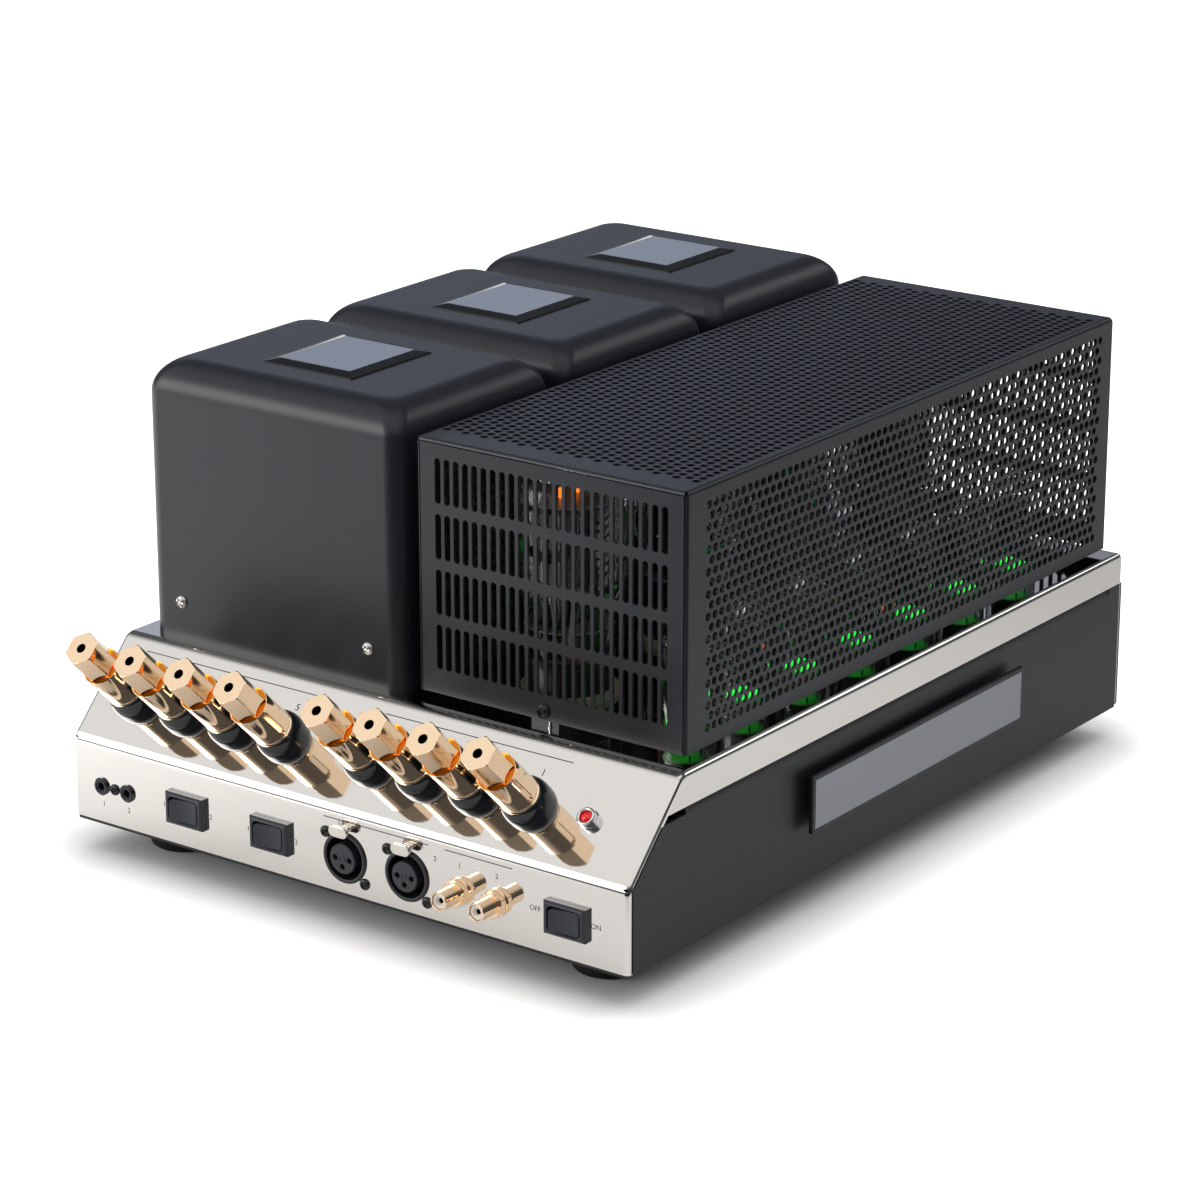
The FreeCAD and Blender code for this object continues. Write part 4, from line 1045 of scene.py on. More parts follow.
@dataclass
class Cage:
    """The ventilated cage: a perforated wrap with folded edges, and two slotted end panels."""

    hole: float = 3.75
    column_pitch: float = 4.815
    columns: int = 66
    side_pitch: float = 4.725
    side_rows: int = 21
    top_pitch: float = 4.85
    top_rows: int = 27
    first_x: float = 60.09
    side_start: float = 83.64
    top_start: float = 9.97
    fold_radius: float = 1.8
    end_radius: float = 1.4
    slot_width: float = 3.2
    slot_length: float = 19.85
    slot_pitch: float = 4.79
    slot_row_pitch: float = 24.2
    slot_columns: int = 25
    slot_rows: int = 4
    slot_first_z: float = 86.57
    end_inset: float = 0.5
    sheet: float = 1.2

    def build(self) -> None:
        """Make the wrap and the ends."""
        self.build_top()
        self.build_side("cage_front", Axis.X.value)
        self.build_side("cage_rear", Axis.BACK_X.value)
        self.build_end("cage_end_near", Axis.BACK_Y.value)
        self.build_end("cage_end_far", Axis.Y.value)

    def finish_sheet(self, name: str, bm: BMesh, place: Matrix, node: str) -> None:
        """Give a sheet its thickness and its coat.

        Args:
            name: The piece's name.
            bm: The sheet, its outer face up.
            place: Where it goes.
            node: The node that it stands for.
        """
        bmesh.ops.solidify(bm, geom=bm.faces[:], thickness=self.sheet)
        piece(name, bm, CAGE_COAT, place, [node])

    def build_top(self) -> None:
        """Punch the top, and fold its long edges down to meet the sides."""
        low, high = span("cage_top")
        r, e = self.fold_radius, self.end_radius
        screen = Screen((low.x + e, low.y + r), (high.x - e, high.y - r), (self.first_x, self.top_start),
                        (self.column_pitch, self.top_pitch), self.columns, self.top_rows, Opening.ROUND,
                        self.hole, staggered=True)
        bm = screen.punched()
        fold(bm, 1, low.y + r, r, -1)
        fold(bm, 1, high.y - r, r, 1)
        fold(bm, 0, low.x + e, e, -1)
        fold(bm, 0, high.x - e, e, 1)
        bmesh.ops.remove_doubles(bm, verts=bm.verts, dist=1e-3)
        self.finish_sheet("perforated_top", bm, level(0, 0, high.z), "cage_top")

    def build_side(self, node: str, along: Vector) -> None:
        """Punch a long side.

        Args:
            node: The node that it stands for.
            along: The direction that it is drawn in, seen from outside.
        """
        low, high = span(node)
        e = self.end_radius
        top = span("cage_top")[1].z - self.fold_radius
        forward = along.x > 0
        length = self.columns * self.column_pitch
        origin = (0, low.y, 0) if forward else (low.x + high.x, high.y, 0)
        start = self.first_x if forward else low.x + high.x - self.first_x - length
        screen = Screen((low.x + e, low.z), (high.x - e, top), (start, self.side_start),
                        (self.column_pitch, self.side_pitch), self.columns, self.side_rows, Opening.ROUND,
                        self.hole, staggered=True)
        bm = screen.punched()
        fold(bm, 0, low.x + e, e, -1)
        fold(bm, 0, high.x - e, e, 1)
        bmesh.ops.remove_doubles(bm, verts=bm.verts, dist=1e-3)
        self.finish_sheet("perforated_" + node, bm, axes(origin, along, Axis.Z.value), node)

    def build_end(self, node: str, along: Vector) -> None:
        """Punch a slotted end panel.

        Args:
            node: The node that it stands for.
            along: The direction that it is drawn in, seen from outside.
        """
        low, high = span(node)
        outward = along.cross(Axis.Z.value)
        x = low.x if outward.x < 0 else high.x
        width = high.y - low.y
        origin = (x, high.y if along.y < 0 else low.y, 0)
        start = (width - self.slot_columns * self.slot_pitch) / 2
        inset = self.end_inset
        screen = Screen((inset, low.z), (width - inset, high.z - inset), (start, self.slot_first_z),
                        (self.slot_pitch, self.slot_row_pitch), self.slot_columns, self.slot_rows, Opening.SLOT,
                        self.slot_width, self.slot_length)
        self.finish_sheet("slotted_" + node, screen.punched(), axes(origin, along, Axis.Z.value), node)


@dataclass
class Tubes:
    """Signal and output tubes with the metal inside them, on their sockets."""

    signal_count: int = 7
    signal_pitch: float = 43.6
    signal_radius: float = 10.8
    power_count: int = 4
    power_radius: float = 25.0
    neck: float = 17.5
    shoulder: float = 30.0
    wall: float = 1.0
    crown: float = 0.9
    anode_foot: float = 13.0
    anode_head: float = 21.0
    anode: tuple[float, float] = (29.0, 17.0)
    rib: tuple[float, float, float] = (31.0, 3.0, 1.2)
    rib_shares: tuple[float, ...] = (0.2, 0.5, 0.8)
    wing: tuple[float, float] = (1.0, 24.0)
    wing_spread: float = 9.0
    support_spread: float = 15.5
    support_radius: float = 0.7
    mica: float = 0.6
    low_mica: float = 19.5
    high_mica: float = 20.5
    heater_spread: float = 5.0
    heater_length: float = 5.0
    getter_gap: float = 0.25
    base_radius: float = 19.5
    signal_wall: float = 0.8
    signal_crown: float = 0.8
    signal_mica: float = 8.8
    signal_anode: tuple[float, float, float] = (5.5, 9.5, 20.0)

    def build(self) -> None:
        """Make both rows of tubes."""
        self.build_output_tubes()
        self.build_signal_tubes()

    def bulb(self, height: float) -> BMesh:
        """Blow an output tube's bulb, open at its foot.

        Args:
            height: Its height above the base.

        Returns:
            The glass.
        """
        dome = self.power_radius * self.crown

        def skin(inset: float) -> list[tuple[float, float]]:
            """Give the outline of a wall of the glass."""
            r, top = self.power_radius - inset, height - inset
            lower = [(self.neck - inset, 0), (self.neck - inset + 0.6, 6), (r - 4, self.shoulder - 8),
                     (r - 0.8, self.shoulder - 1), (r, self.shoulder + 6)]
            return lower + dome_points(r, top - dome, dome, range(0, 90, 9)) + [(0, top)]

        return turned(skin(0) + skin(self.wall)[::-1], ring=True)

    def build_output_tubes(self) -> None:
        """Make the output tubes: glass, getter, electrodes, heater light and base."""
        bases, electrodes, getters, micas, heaters = [], [], [], [], []
        base_low, base_high = span("power_tube_bases")
        for i in range(1, self.power_count + 1):
            node = f"power_tube_{i}"
            low, high = span(node)
            middle = middle_of(node)
            spot = level(middle.x, middle.y, low.z)
            height = high.z - low.z
            piece(f"glass_bulb_{i}", self.bulb(height), TUBE_GLASS, spot, [node])
            getters.append(placed(turned(self.getter_outline(height), 36), spot))
            electrodes.append(placed(self.electrodes(height), spot))
            micas.append(placed(self.mica_pair(height), spot))
            heaters.append(placed(self.heater_ends(height), spot))
            seat = level(middle.x, middle.y, base_low.z)
            bases.append(placed(self.base(base_high.z - base_low.z), seat))
        piece("tube_bases", merged(*bases), PHENOLIC, nodes=["power_tube_bases"])
        piece("getter_mirrors", merged(*getters), GETTER)
        piece("output_micas", merged(*micas), MICA)
        piece("heaters", merged(*heaters), HEATER_GLOW)
        piece("output_electrodes", merged(*electrodes), CARBON_NICKEL, nodes=["tube_plates"])

    def mica_pair(self, height: float) -> BMesh:
        """Make the mica discs under and over an output tube's anode."""
        foot, head, thick = self.anode_foot - 1, height - self.anode_head, self.mica
        return merged(rod(self.low_mica, foot, foot + thick, 24), rod(self.high_mica, head, head + thick, 24))

    def heater_ends(self, height: float) -> BMesh:
        """Make the parts of an output tube's heaters that glow, under and over its anode."""
        ends = ((1.6, self.anode_foot - 3.5), (1.4, height - self.anode_head - 0.5))
        return merged(*[shifted(rod(radius, start, start + self.heater_length, 12), x=x)
                        for radius, start in ends for x in (-self.heater_spread, self.heater_spread)])

    def getter_outline(self, height: float) -> list[tuple[float, float]]:
        """Give the outline of the mirror inside a dome."""
        r, top = self.power_radius - self.wall - self.getter_gap, height - self.wall - 0.3
        dome = self.power_radius * self.crown
        outer = dome_points(r, top - dome, dome, range(36, 90, 9)) + [(0, top)]
        inner = [(x * 0.985, z - 0.3) for x, z in outer]
        return outer + inner[::-1] + outer[:1]

    def electrodes(self, height: float) -> BMesh:
        """Make the ribbed anode and the rods that carry it."""
        low, high = self.anode_foot, height - self.anode_head
        middle = (low + high) / 2
        anode = bar((*self.anode, high - low), (0, 0, middle), 2.5)
        ribs = [bar(self.rib, (0, 0, low + (high - low) * share), 0.3, 1) for share in self.rib_shares]
        wings = [bar((*self.wing, high - low - 6), (x, 0, middle), 0.3, 1)
                 for x in (-self.wing_spread, self.wing_spread)]
        rods = [shifted(rod(self.support_radius, 1, high + 6, 10), x=x)
                for x in (-self.support_spread, self.support_spread)]
        return merged(anode, *ribs, *wings, *rods)

    def base(self, height: float) -> BMesh:
        """Turn a phenolic base with a moulded lip."""
        r = self.base_radius
        return turned([(0, 0), (r - 1.0, 0), (r - 0.6, 0.4), (r - 0.6, height - 4), (r, height - 3.4),
                       (r, height - 0.8), (r - 0.8, height), (0, height)])

    def build_signal_tubes(self) -> None:
        """Make the signal tubes, each lit green from below."""
        low, high = span("signal_tubes")
        r, wall, height = self.signal_radius, self.signal_wall, high.z - low.z
        dome = r * self.signal_crown
        outer = [(r, 0), (r, height - dome), *dome_points(r, height - 2.5 - dome, dome, range(15, 76, 15)),
                 (1.6, height - 2.2), (1.2, height - 0.6), (0, height)]
        inner = [(max(x - wall, 0), z - wall if z > 1 else z) for x, z in outer]
        glass = turned(outer + inner[::-1], 32, ring=True)
        row = (low.y + high.y) / 2
        spots = [level(low.x + r + i * self.signal_pitch, row, low.z) for i in range(self.signal_count)]
        piece("signal_bulbs", repeated(glass, spots), TUBE_GLASS, nodes=["signal_tubes"])
        anodes = [bar(self.signal_anode, (x, 0, 19), 1.2, 2) for x in (-3.4, 3.4)]
        fin = bar((0.5, 16, 19), (0, 0, 19), 0.15, 1)
        rods = [shifted(rod(0.4, 5, 34, 8), x=x, y=y) for x in (-4, 4) for y in (-6, 6)]
        piece("signal_electrodes", repeated(merged(*anodes, fin, *rods), spots), CARBON_NICKEL)
        micas = merged(*[rod(self.signal_mica, z, z + 0.5, 20) for z in (7.5, 30.5)])
        piece("signal_micas", repeated(micas, spots), MICA)
        top = dome_points(r * 0.86, height - 4.0 - dome, dome, range(30, 91, 12))
        under = [(x * 0.96, z - 0.3) for x, z in top]
        piece("signal_getters", repeated(turned(top + under[::-1] + top[:1], 24), spots), GETTER)
        glow = turned([(0, 0.6), (6.5, 0.6), (7.2, 1.6), (5.0, 2.8), (0, 3.4)], 24)
        piece("diode_lights", repeated(glow, spots), GREEN_GLOW)


@dataclass
class Posts:
    """Eight gold binding posts: insulator, barrel and hexagonal cap."""

    count: int = 8
    length: float = 46.4
    flats: float = 14.0
    hex_length: float = 16.4
    barrel: float = 8.9
    insulator: float = 8.5
    insulator_base: float = 11.1
    insulator_top: float = 9.2
    banana: float = 2.05
    recess: float = 0.9
    lip: float = 0.35
    flute_width: float = 2.6
    flute_depth: float = 0.8
    flute_angles: tuple[float, ...] = (-100.0, 20.0, 140.0)
    stem_bore: float = 2.6
    insulator_bore: float = 2.7
    groove: float = 0.25
    cap_gap: float = 0.35
    hidden: float = 0.1

    def build(self) -> None:
        """Make every post."""
        insulators = []
        floor = self.length - self.hex_length - self.recess
        for i in range(1, self.count + 1):
            middle, outward = hinge(f"post_cap_{i}")
            spot = stand(middle - outward * self.length / 2, outward)
            piece(f"gold_post_{i}", self.cap(), GOLD, spot, [f"post_cap_{i}"], f"post_cap_{i}")
            # The ring at the floor of the recess has a painted reflection: deeper orange gold where gold
            # mirrors gold
            inner, outer = self.flats / 2 - self.hidden, self.barrel - self.lip - 0.02
            under, over = floor - self.hidden, floor + self.hidden / 2
            ring = turned([(inner, under), (outer, under), (outer, over), (inner, over)], 56, ring=True)
            piece(f"recess_{i}", ring, GOLD_PAINTED_REFLECTION, spot, (), f"post_cap_{i}")
            insulators.append(placed(self.insulator_form(), spot))
        piece("moulded_insulators", merged(*insulators), POLISHED_NYLON, nodes=["post_insulators"])

    def cap(self) -> BMesh:
        """Machine the cap: lipped barrel with shallow flutes, a recess, the hexagon and the plug hole."""
        start, top, r = self.insulator + self.cap_gap, self.length, self.barrel
        shoulder = top - self.hex_length
        floor, groove = shoulder - self.recess, self.groove
        edge = r - self.lip
        profile = [(self.stem_bore, start), (r, start), (r + 0.3, start + 0.25), (r + 0.3, start + 0.6),
                   (r, start + 0.85), (r - groove, start + 1.0), (r - groove, start + 1.4), (r, start + 1.65),
                   (r, shoulder - 0.1), (r - 0.1, shoulder), (edge + 0.05, shoulder), (edge, floor),
                   (self.stem_bore, floor)]
        barrel = turned(profile, 72, ring=True)
        first, last = start + 2.6, shoulder - 1.2
        flute = bar((2 * self.flute_depth, self.flute_width, last - first), (r, 0, (first + last) / 2))
        ends = [e for e in flute.edges if abs(e.verts[0].co.x - e.verts[1].co.x) > 1e-3]
        soften(flute, self.flute_width / 2 - 0.05, 5, edges=ends)
        turns = [Matrix.Rotation(math.radians(angle), 4, "Z") for angle in self.flute_angles]
        barrel = cut(barrel, repeated(flute, turns))
        cap = hexagon(self.flats, floor, top, 0.12)
        tip = self.flats / math.sqrt(3)
        inner, outer = tip - 0.6, tip + 1.5
        cone = turned([(inner, top + 0.01), (outer, top - 1.5), (outer, top + 2), (inner, top + 2)], ring=True)
        cap = cut(cap, cone)
        hole = turned([(0, shoulder - 2), (self.banana, shoulder - 2), (self.banana, top - 0.3),
                       (self.banana + 0.3, top + 0.2), (0, top + 0.2)], 40)
        return merged(barrel, cut(cap, hole))

    def insulator_form(self) -> BMesh:
        """Turn the insulator: a thick bulged ring under the barrel's lip, its lower edge sharp on the slope."""
        base, top, h = self.insulator_base, self.insulator_top, self.insulator
        bore = self.insulator_bore
        profile = [(bore, 0.0), (base, 0.0), (base, 2.2), (base - 0.15, 3.6), (base - 0.45, 5.0),
                   (base - 0.9, 6.4), (top + 0.4, 7.6), (top - 0.1, h - 0.25), (top - 0.6, h), (bore, h)]
        return turned(profile, 56, ring=True)


@dataclass
class Panel:
    """Fittings of the connector panel, the slope and the far end."""

    bezel: tuple[float, float, float] = (14.6, 21.0, 3.2)
    window_corner: float = 2.0
    switch_body: tuple[float, float, float] = (12.8, 19.0, 18.9)
    well_lip: tuple[float, float] = (11.4, 16.8)
    well: tuple[float, float] = (10.8, 16.2)
    paddle_size: tuple[float, float] = (10.2, 14.0)
    paddle_front: float = 4.0
    paddle_back: float = -5.0
    dish_half: float = 6.6
    dish: float = 1.0
    pin_radius: float = 1.2
    pin_reach: float = 5.9
    pressed: float = 8.0
    insert: float = 6.7
    insert_reach: float = 2.2
    contact: float = 1.2
    contact_places: tuple[tuple[float, float], ...] = ((0.0, -3.75), (0.0, 3.75), (-3.5, 0.0))
    tab_rise: float = 12.9
    tab_size: tuple[float, float, float] = (5.0, 9.9, 1.6)
    tab_reach: float = 5.0
    stem_width: float = 4.4
    stem_tail: float = 7.0
    cage_screw_lift: float = 7.0
    cage_screw_offset: float = 3.3
    cage_screw: tuple[float, float] = (3.4, 2.6)
    panel_screw: tuple[float, float] = (2.6, 1.8)
    socket_screw_along: float = 10.4
    socket_screw_up: float = 9.5
    inlet_screw_along: float = 20.0
    phono_radius: float = 6.2
    jack_radius: float = 5.5
    jack_body: tuple[float, float, float] = (11.0, 11.0, 12.4)
    stud_y: float = 75.3

    def build(self) -> None:
        """Make every fitting."""
        self.build_rockers()
        self.build_balanced()
        self.build_phono()
        self.build_control_jacks()
        self.build_lamp()
        self.build_black_screws()
        self.build_stud()

    def build_rockers(self) -> None:
        """Make the three rocker switches: chamfered bezel, inner wall and dished paddle."""
        bezels = []
        for name in ("mode", "input", "power"):
            pivot, _ = hinge(name + "_rocker")
            spot = stand((0, pivot.y, pivot.z), Axis.BACK_X.value)
            bezels.append(placed(self.bezel_form(), spot))
            piece(name + "_paddle", self.paddle(pivot.x), SWITCH_PLASTIC, spot, [name + "_rocker"],
                  name + "_rocker")
        piece("switch_bezels", merged(*bezels), SWITCH_PLASTIC, nodes=["switch_bodies"])

    def bezel_form(self) -> BMesh:
        """Mould a bezel with its well and the body behind it."""
        thick, deep = self.bezel[2], self.switch_body[2]
        plate = bar(self.bezel, (0, 0, thick / 2))
        rim = [e for e in plate.edges if all(v.co.z > thick - 0.1 for v in e.verts)]
        soften(plate, 1.0, 1, edges=rim)
        soften(plate, 0.2, 2)
        body = bar(self.switch_body, (0, 0, -deep / 2), 0.4, 1)
        plate = cut(plate, self.block((*self.well_lip, 1.2), thick, 2.5))
        plate = cut(plate, self.block((*self.well, 9.0), thick, self.window_corner))
        return merged(plate, cut(body, self.block((*self.well, 18.0), 0, self.window_corner)))

    @staticmethod
    def block(size: Sequence[float], height: float, corner: float) -> BMesh:
        """Make a block with round corners, its middle at a height."""
        bm = bar(size, (0, 0, height))
        upright = [e for e in bm.edges if abs(e.verts[0].co.z - e.verts[1].co.z) > 1e-3]
        soften(bm, corner, 5, edges=upright)
        return bm

    def paddle(self, pivot: float) -> BMesh:
        """Mould a paddle with a hollow face, pressed at one end.

        Args:
            pivot: How far its pin lies behind the panel.

        Returns:
            The paddle.
        """
        front, back, half, dip = self.paddle_front, self.paddle_back, self.dish_half, self.dish
        body = self.block((*self.paddle_size, front - back), (front + back) / 2, self.window_corner - 0.3)
        radius = (half ** 2 + dip ** 2) / (2 * dip)
        along = Matrix.Rotation(math.radians(90), 4, "Y")
        form = cut(body, shifted(placed(rod(radius, -8, 8, 128), along), z=front - dip + radius))
        rim = [e for e in form.edges if e.calc_face_angle(0) > 0.6
               and all(v.co.z > front - dip - 0.1 for v in e.verts)]
        soften(form, 0.35, 2, edges=rim)
        pin = placed(rod(self.pin_radius, -self.pin_reach, self.pin_reach, 20), along)
        form = merged(form, shifted(pin, z=-pivot))
        press = Matrix.Rotation(math.radians(self.pressed), 3, "X")
        bmesh.ops.rotate(form, cent=(0, 0, -pivot), matrix=press, verts=form.verts)
        return form

    def build_balanced(self) -> None:
        """Make the balanced sockets: black ring, dark insert with three holes, and the release tab."""
        rings, inserts = [], []
        low, high = span("xlr_inserts")
        r = (high.z - low.z) / 2
        height = (low.z + high.z) / 2
        for i, y in enumerate((low.y + r, high.y - r), 1):
            spot = stand((0, y, height), Axis.BACK_X.value)
            ring = [(9.5, -17), (9.5, 0.5), (9.7, 0.85), (10.1, 1.0), (10.8, 1.0), (11.25, 0.75), (11.4, 0.35),
                    (11.4, 0.02), (11.0, 0.02), (11.0, -21), (0, -21), (0, -17)]
            rings.append(placed(turned(ring, 64, ring=True), spot))
            inserts.append(placed(self.insert_form(), spot))
            piece(f"release_tab_{i}", self.tab(), CAST_TAB, spot, [f"xlr_latch_{i}"], f"xlr_latch_{i}")
        piece("balanced_rings", merged(*rings), NYLON, nodes=["xlr_shells"])
        piece("contact_inserts", merged(*inserts), INSERT_PLASTIC, nodes=["xlr_inserts"])

    def insert_form(self) -> BMesh:
        """Mould an insert with three contact holes round a small boss."""
        r, reach, hole = self.insert, self.insert_reach, self.contact
        form = turned([(0, -17), (r, -17), (r, reach - 0.35), (r - 0.35, reach), (1.5, reach),
                       (1.5, reach - 0.25), (1.15, reach - 0.25), (1.15, reach), (0, reach)], 56)
        for x, y in self.contact_places:
            mouth = reach + 0.1
            drill = turned([(0, -12), (hole, -12), (hole, reach - 0.3), (hole + 0.35, mouth), (0, mouth)], 24)
            form = cut(form, shifted(drill, x, y))
        return form

    def tab(self) -> BMesh:
        """Stamp a release tab: a plate with round ends on a narrow stem."""
        up, along, thick = self.tab_size
        plate = self.block((up, along, thick), self.tab_reach - thick / 2, up / 2 - 0.05)
        soften(plate, 0.45, 3, above=1.0)
        inner = self.tab_reach - thick
        head, tail = inner + 0.4, self.stem_tail
        stem = bar((thick, self.stem_width, head + tail), (0, 0, (head - tail) / 2), 0.3, 2)
        return shifted(merged(plate, stem), x=self.tab_rise)

    def build_phono(self) -> None:
        """Turn the phono sockets: barrel, flange, nut and washer, with a white insulator inside."""
        low, high = span("rca_jacks")
        height = (low.z + high.z) / 2
        places = [stand((0, y, height), Axis.BACK_X.value)
                  for y in (low.y + self.phono_radius, high.y - self.phono_radius)]
        barrel = turned([(3.1, -9), (3.1, 3.4), (5.2, 3.4), (5.4, 3.6), (5.4, 4.4), (5.2, 4.6),
                         (4.15, 4.6), (4.15, 13.3), (3.95, 13.6), (3.55, 13.6), (3.35, 13.3), (3.3, 4.2),
                         (2.4, 4.2), (2.4, -9)], ring=True)
        nut = hexagon(11.0, 0.8, 3.4, 0.3)
        nut = cut(nut, rod(3.2, -1, 5, 32))
        washer = turned([(3.2, 0.02), (6.2, 0.02), (6.2, 0.6), (6.0, 0.8), (3.2, 0.8)], ring=True)
        contact = turned([(1.2, 3.5), (1.65, 3.5), (1.65, 11.4), (1.2, 11.4)], 24, ring=True)
        socket = merged(barrel, nut, washer, contact)
        piece("phono_barrels", repeated(socket, places), GOLD, nodes=["rca_jacks"])
        core = turned([(1.7, 4.3), (3.25, 4.3), (3.25, 12.6), (3.0, 12.9), (2.3, 12.9), (1.7, 12.0)], 40,
                      ring=True)
        piece("phono_insulators", repeated(core, places), WHITE_INSULATOR)

    def build_control_jacks(self) -> None:
        """Turn the two small control jacks, each with a sleeve of greyer plastic round its hole."""
        low, high = span("control_jacks")
        places = [stand((0, y, (low.z + high.z) / 2), Axis.BACK_X.value)
                  for y in (low.y + self.jack_radius, high.y - self.jack_radius)]
        profile = [(2.4, -13), (2.4, 1.15), (2.7, 1.4), (3.3, 1.4), (4.0, 0.8), (4.0, 0.02), (3.0, 0.02),
                   (3.0, -13)]
        body = cut(bar(self.jack_body, (0, 0, -7.8), 0.4, 1), rod(3.0, -20, 4, 32))
        piece("jack_collars", repeated(merged(turned(profile, ring=True), body), places), POLISHED_NYLON,
              nodes=["control_jacks"])
        sleeve = turned([(1.8, -12.8), (1.8, 0.7), (2.0, 0.95), (2.35, 0.95), (2.35, -12.8)], 40, ring=True)
        piece("jack_sleeves", repeated(sleeve, places), INSERT_PLASTIC)

    def build_lamp(self) -> None:
        """Turn the lamp's chrome bezel and mould its faceted lens."""
        middle, outward = hinge("post_cap_1")
        seat = middle - outward * Posts.length / 2
        spot = stand((seat.x, middle_of("lamp_bezel").y, seat.z), outward)
        profile = [(2.6, -9), (2.6, 3.6)] + arc((3.35, 3.65), 0.75, 180, 0, 10)
        profile += [(4.1, 0.7), (4.5, 0.4), (4.5, 0.02), (3.4, 0.02), (3.4, -9)]
        piece("lamp_ring", turned(profile, 56, ring=True), CHROME, spot, ["lamp_bezel"])
        lens = turned([(0, -9), (2.5, -9), (2.5, 2.6), (2.2, 3.5), (1.4, 4.1), (0.6, 4.35), (0, 4.4)], 24)
        piece("lamp_dome", lens, LAMP_LENS, spot, ["lamp_lens"])

    def build_black_screws(self) -> None:
        """Put the black screws of the cage, the panel and the mains inlet."""
        low, high = span("cage_top")
        middle = middle_of("cage_top").y + self.cage_screw_offset
        lift = span("chassis_shell")[1].z + self.cage_screw_lift
        ends = [stand((low.x, middle, lift), Axis.BACK_X.value), stand((high.x, middle, lift), Axis.X.value)]
        low, high = span("xlr_inserts")
        height, along, up = (low.z + high.z) / 2, self.socket_screw_along, self.socket_screw_up
        spots = [(y + s * along, height + s * up) for y in (low.y + self.insert, high.y - self.insert)
                 for s in (-1, 1)]
        jacks = middle_of("control_jacks")
        places = [stand((0, y, z), Axis.BACK_X.value) for y, z in spots + [(jacks.y, jacks.z)]]
        inlet = middle_of("mains_inlet")
        face = span("mains_inlet")[1].x
        places += [stand((face, inlet.y + s * self.inlet_screw_along, inlet.z), Axis.X.value) for s in (-1, 1)]
        screws = merged(repeated(pan_screw(*self.panel_screw), places),
                        repeated(pan_screw(*self.cage_screw), ends))
        piece("cross_screws", screws, BLACK_OXIDE, nodes=["black_screws"])

    def build_stud(self) -> None:
        """Put the bright stud that shows under the near end of the cage."""
        low = span("cage_top")[0]
        deck = span("chassis_shell")[1].z
        stud = turned([(0, 0), (0.9, 0), (0.9, 0.5), (0.5, 0.6), (0.5, 3.4), (0, 3.4)], 20)
        piece("cage_stud", stud, ZINC, level(low.x + 1.0, self.stud_y, deck))


@dataclass(frozen=True)
class Mark:
    """A printed figure or word: what it says, its middle's place across and up a face, and its height."""

    says: str
    across: float
    up: float
    height: float = 2.3


@dataclass
class Print:
    """The plain print on the panel and the slope: figures, the switch's ON and OFF, and thin rules."""

    ink: float = 0.03
    rule: float = 0.4
    panel_rules: tuple[tuple[float, float, float], ...] = ((58.2, 93.0, 32.4), (101.5, 157.3, 32.4))
    slope_rules: tuple[tuple[float, float, float], ...] = ((50.9, 148.9, 45.9), (186.7, 283.5, 45.9))
    panel_marks: tuple[Mark, ...] = (
        Mark("1", 282.7, 8.5), Mark("2", 268.2, 8.5), Mark("1", 247.2, 16.6), Mark("2", 220.6, 16.6),
        Mark("1", 199.4, 16.6), Mark("2", 172.8, 16.6), Mark("1", 149.0, 31.0), Mark("2", 98.0, 27.1),
        Mark("1", 85.2, 27.1), Mark("2", 66.0, 27.1), Mark("OFF", 46.6, 18.0), Mark("ON", 16.1, 17.4))
    post_mark_rise: float = 38.5
    post_mark_height: float = 3.2
    capital_share: float = 0.7

    def build(self) -> None:
        """Print both faces."""
        across, up = Axis.BACK_Y.value, Axis.Z.value
        marks = [self.figure(m) for m in self.panel_marks]
        marks += [self.line(*rule) for rule in self.panel_rules]
        piece("panel_print", merged(*marks), INK, axes((0, 0, 0), across, up))
        joints = [j for j in frame["joints"] if j["child"].startswith("post_cap")]
        outward = Vector(joints[0]["axis"])
        marks = [self.figure(Mark(j["child"][-1], (j["pos_m"][1] - CORNER.y) / MM, self.post_mark_rise,
                                  self.post_mark_height)) for j in joints]
        marks += [self.line(*rule) for rule in self.slope_rules]
        panel_top = Vector((0, 0, Chassis.panel))
        piece("slope_print", merged(*marks), INK, axes(panel_top, across, outward.cross(across)))

    def figure(self, mark: Mark) -> BMesh:
        """Set one figure or word as a thin solid film of ink."""
        curve = bpy.data.curves.new("type", "FONT")
        curve.body, curve.size, curve.extrude = mark.says, mark.height / self.capital_share, self.ink / 2
        curve.align_x, curve.align_y = "CENTER", "CENTER"
        setter = bpy.data.objects.new("type", curve)
        bpy.context.scene.collection.objects.link(setter)
        mesh = bpy.data.meshes.new_from_object(setter.evaluated_get(bpy.context.evaluated_depsgraph_get()))
        bm = bmesh.new()
        bm.from_mesh(mesh)
        bpy.data.objects.remove(setter)
        bpy.data.curves.remove(curve)
        bpy.data.meshes.remove(mesh)
        bmesh.ops.remove_doubles(bm, verts=bm.verts, dist=1e-4)
        return shifted(bm, -mark.across, mark.up, self.ink / 2)

    def line(self, start: float, end: float, up: float) -> BMesh:
        """Draw a thin rule across a face."""
        return bar((end - start, self.rule, self.ink), (-(start + end) / 2, up, self.ink / 2))


@dataclass(frozen=True)
class Softbox:
    """A softbox: where it hangs from the object, its size, its power and whether mirrors show it."""

    name: str
    azimuth: float
    elevation: float
    distance: float
    width: float
    height: float
    power: float
    mirrored: bool


@dataclass(frozen=True)
class Wall:
    """A pale patch of the mirrored room: its direction, the cosines where it starts and is full, its colour."""

    direction: tuple[float, float, float]
    edge: float
    core: float
    colour: str


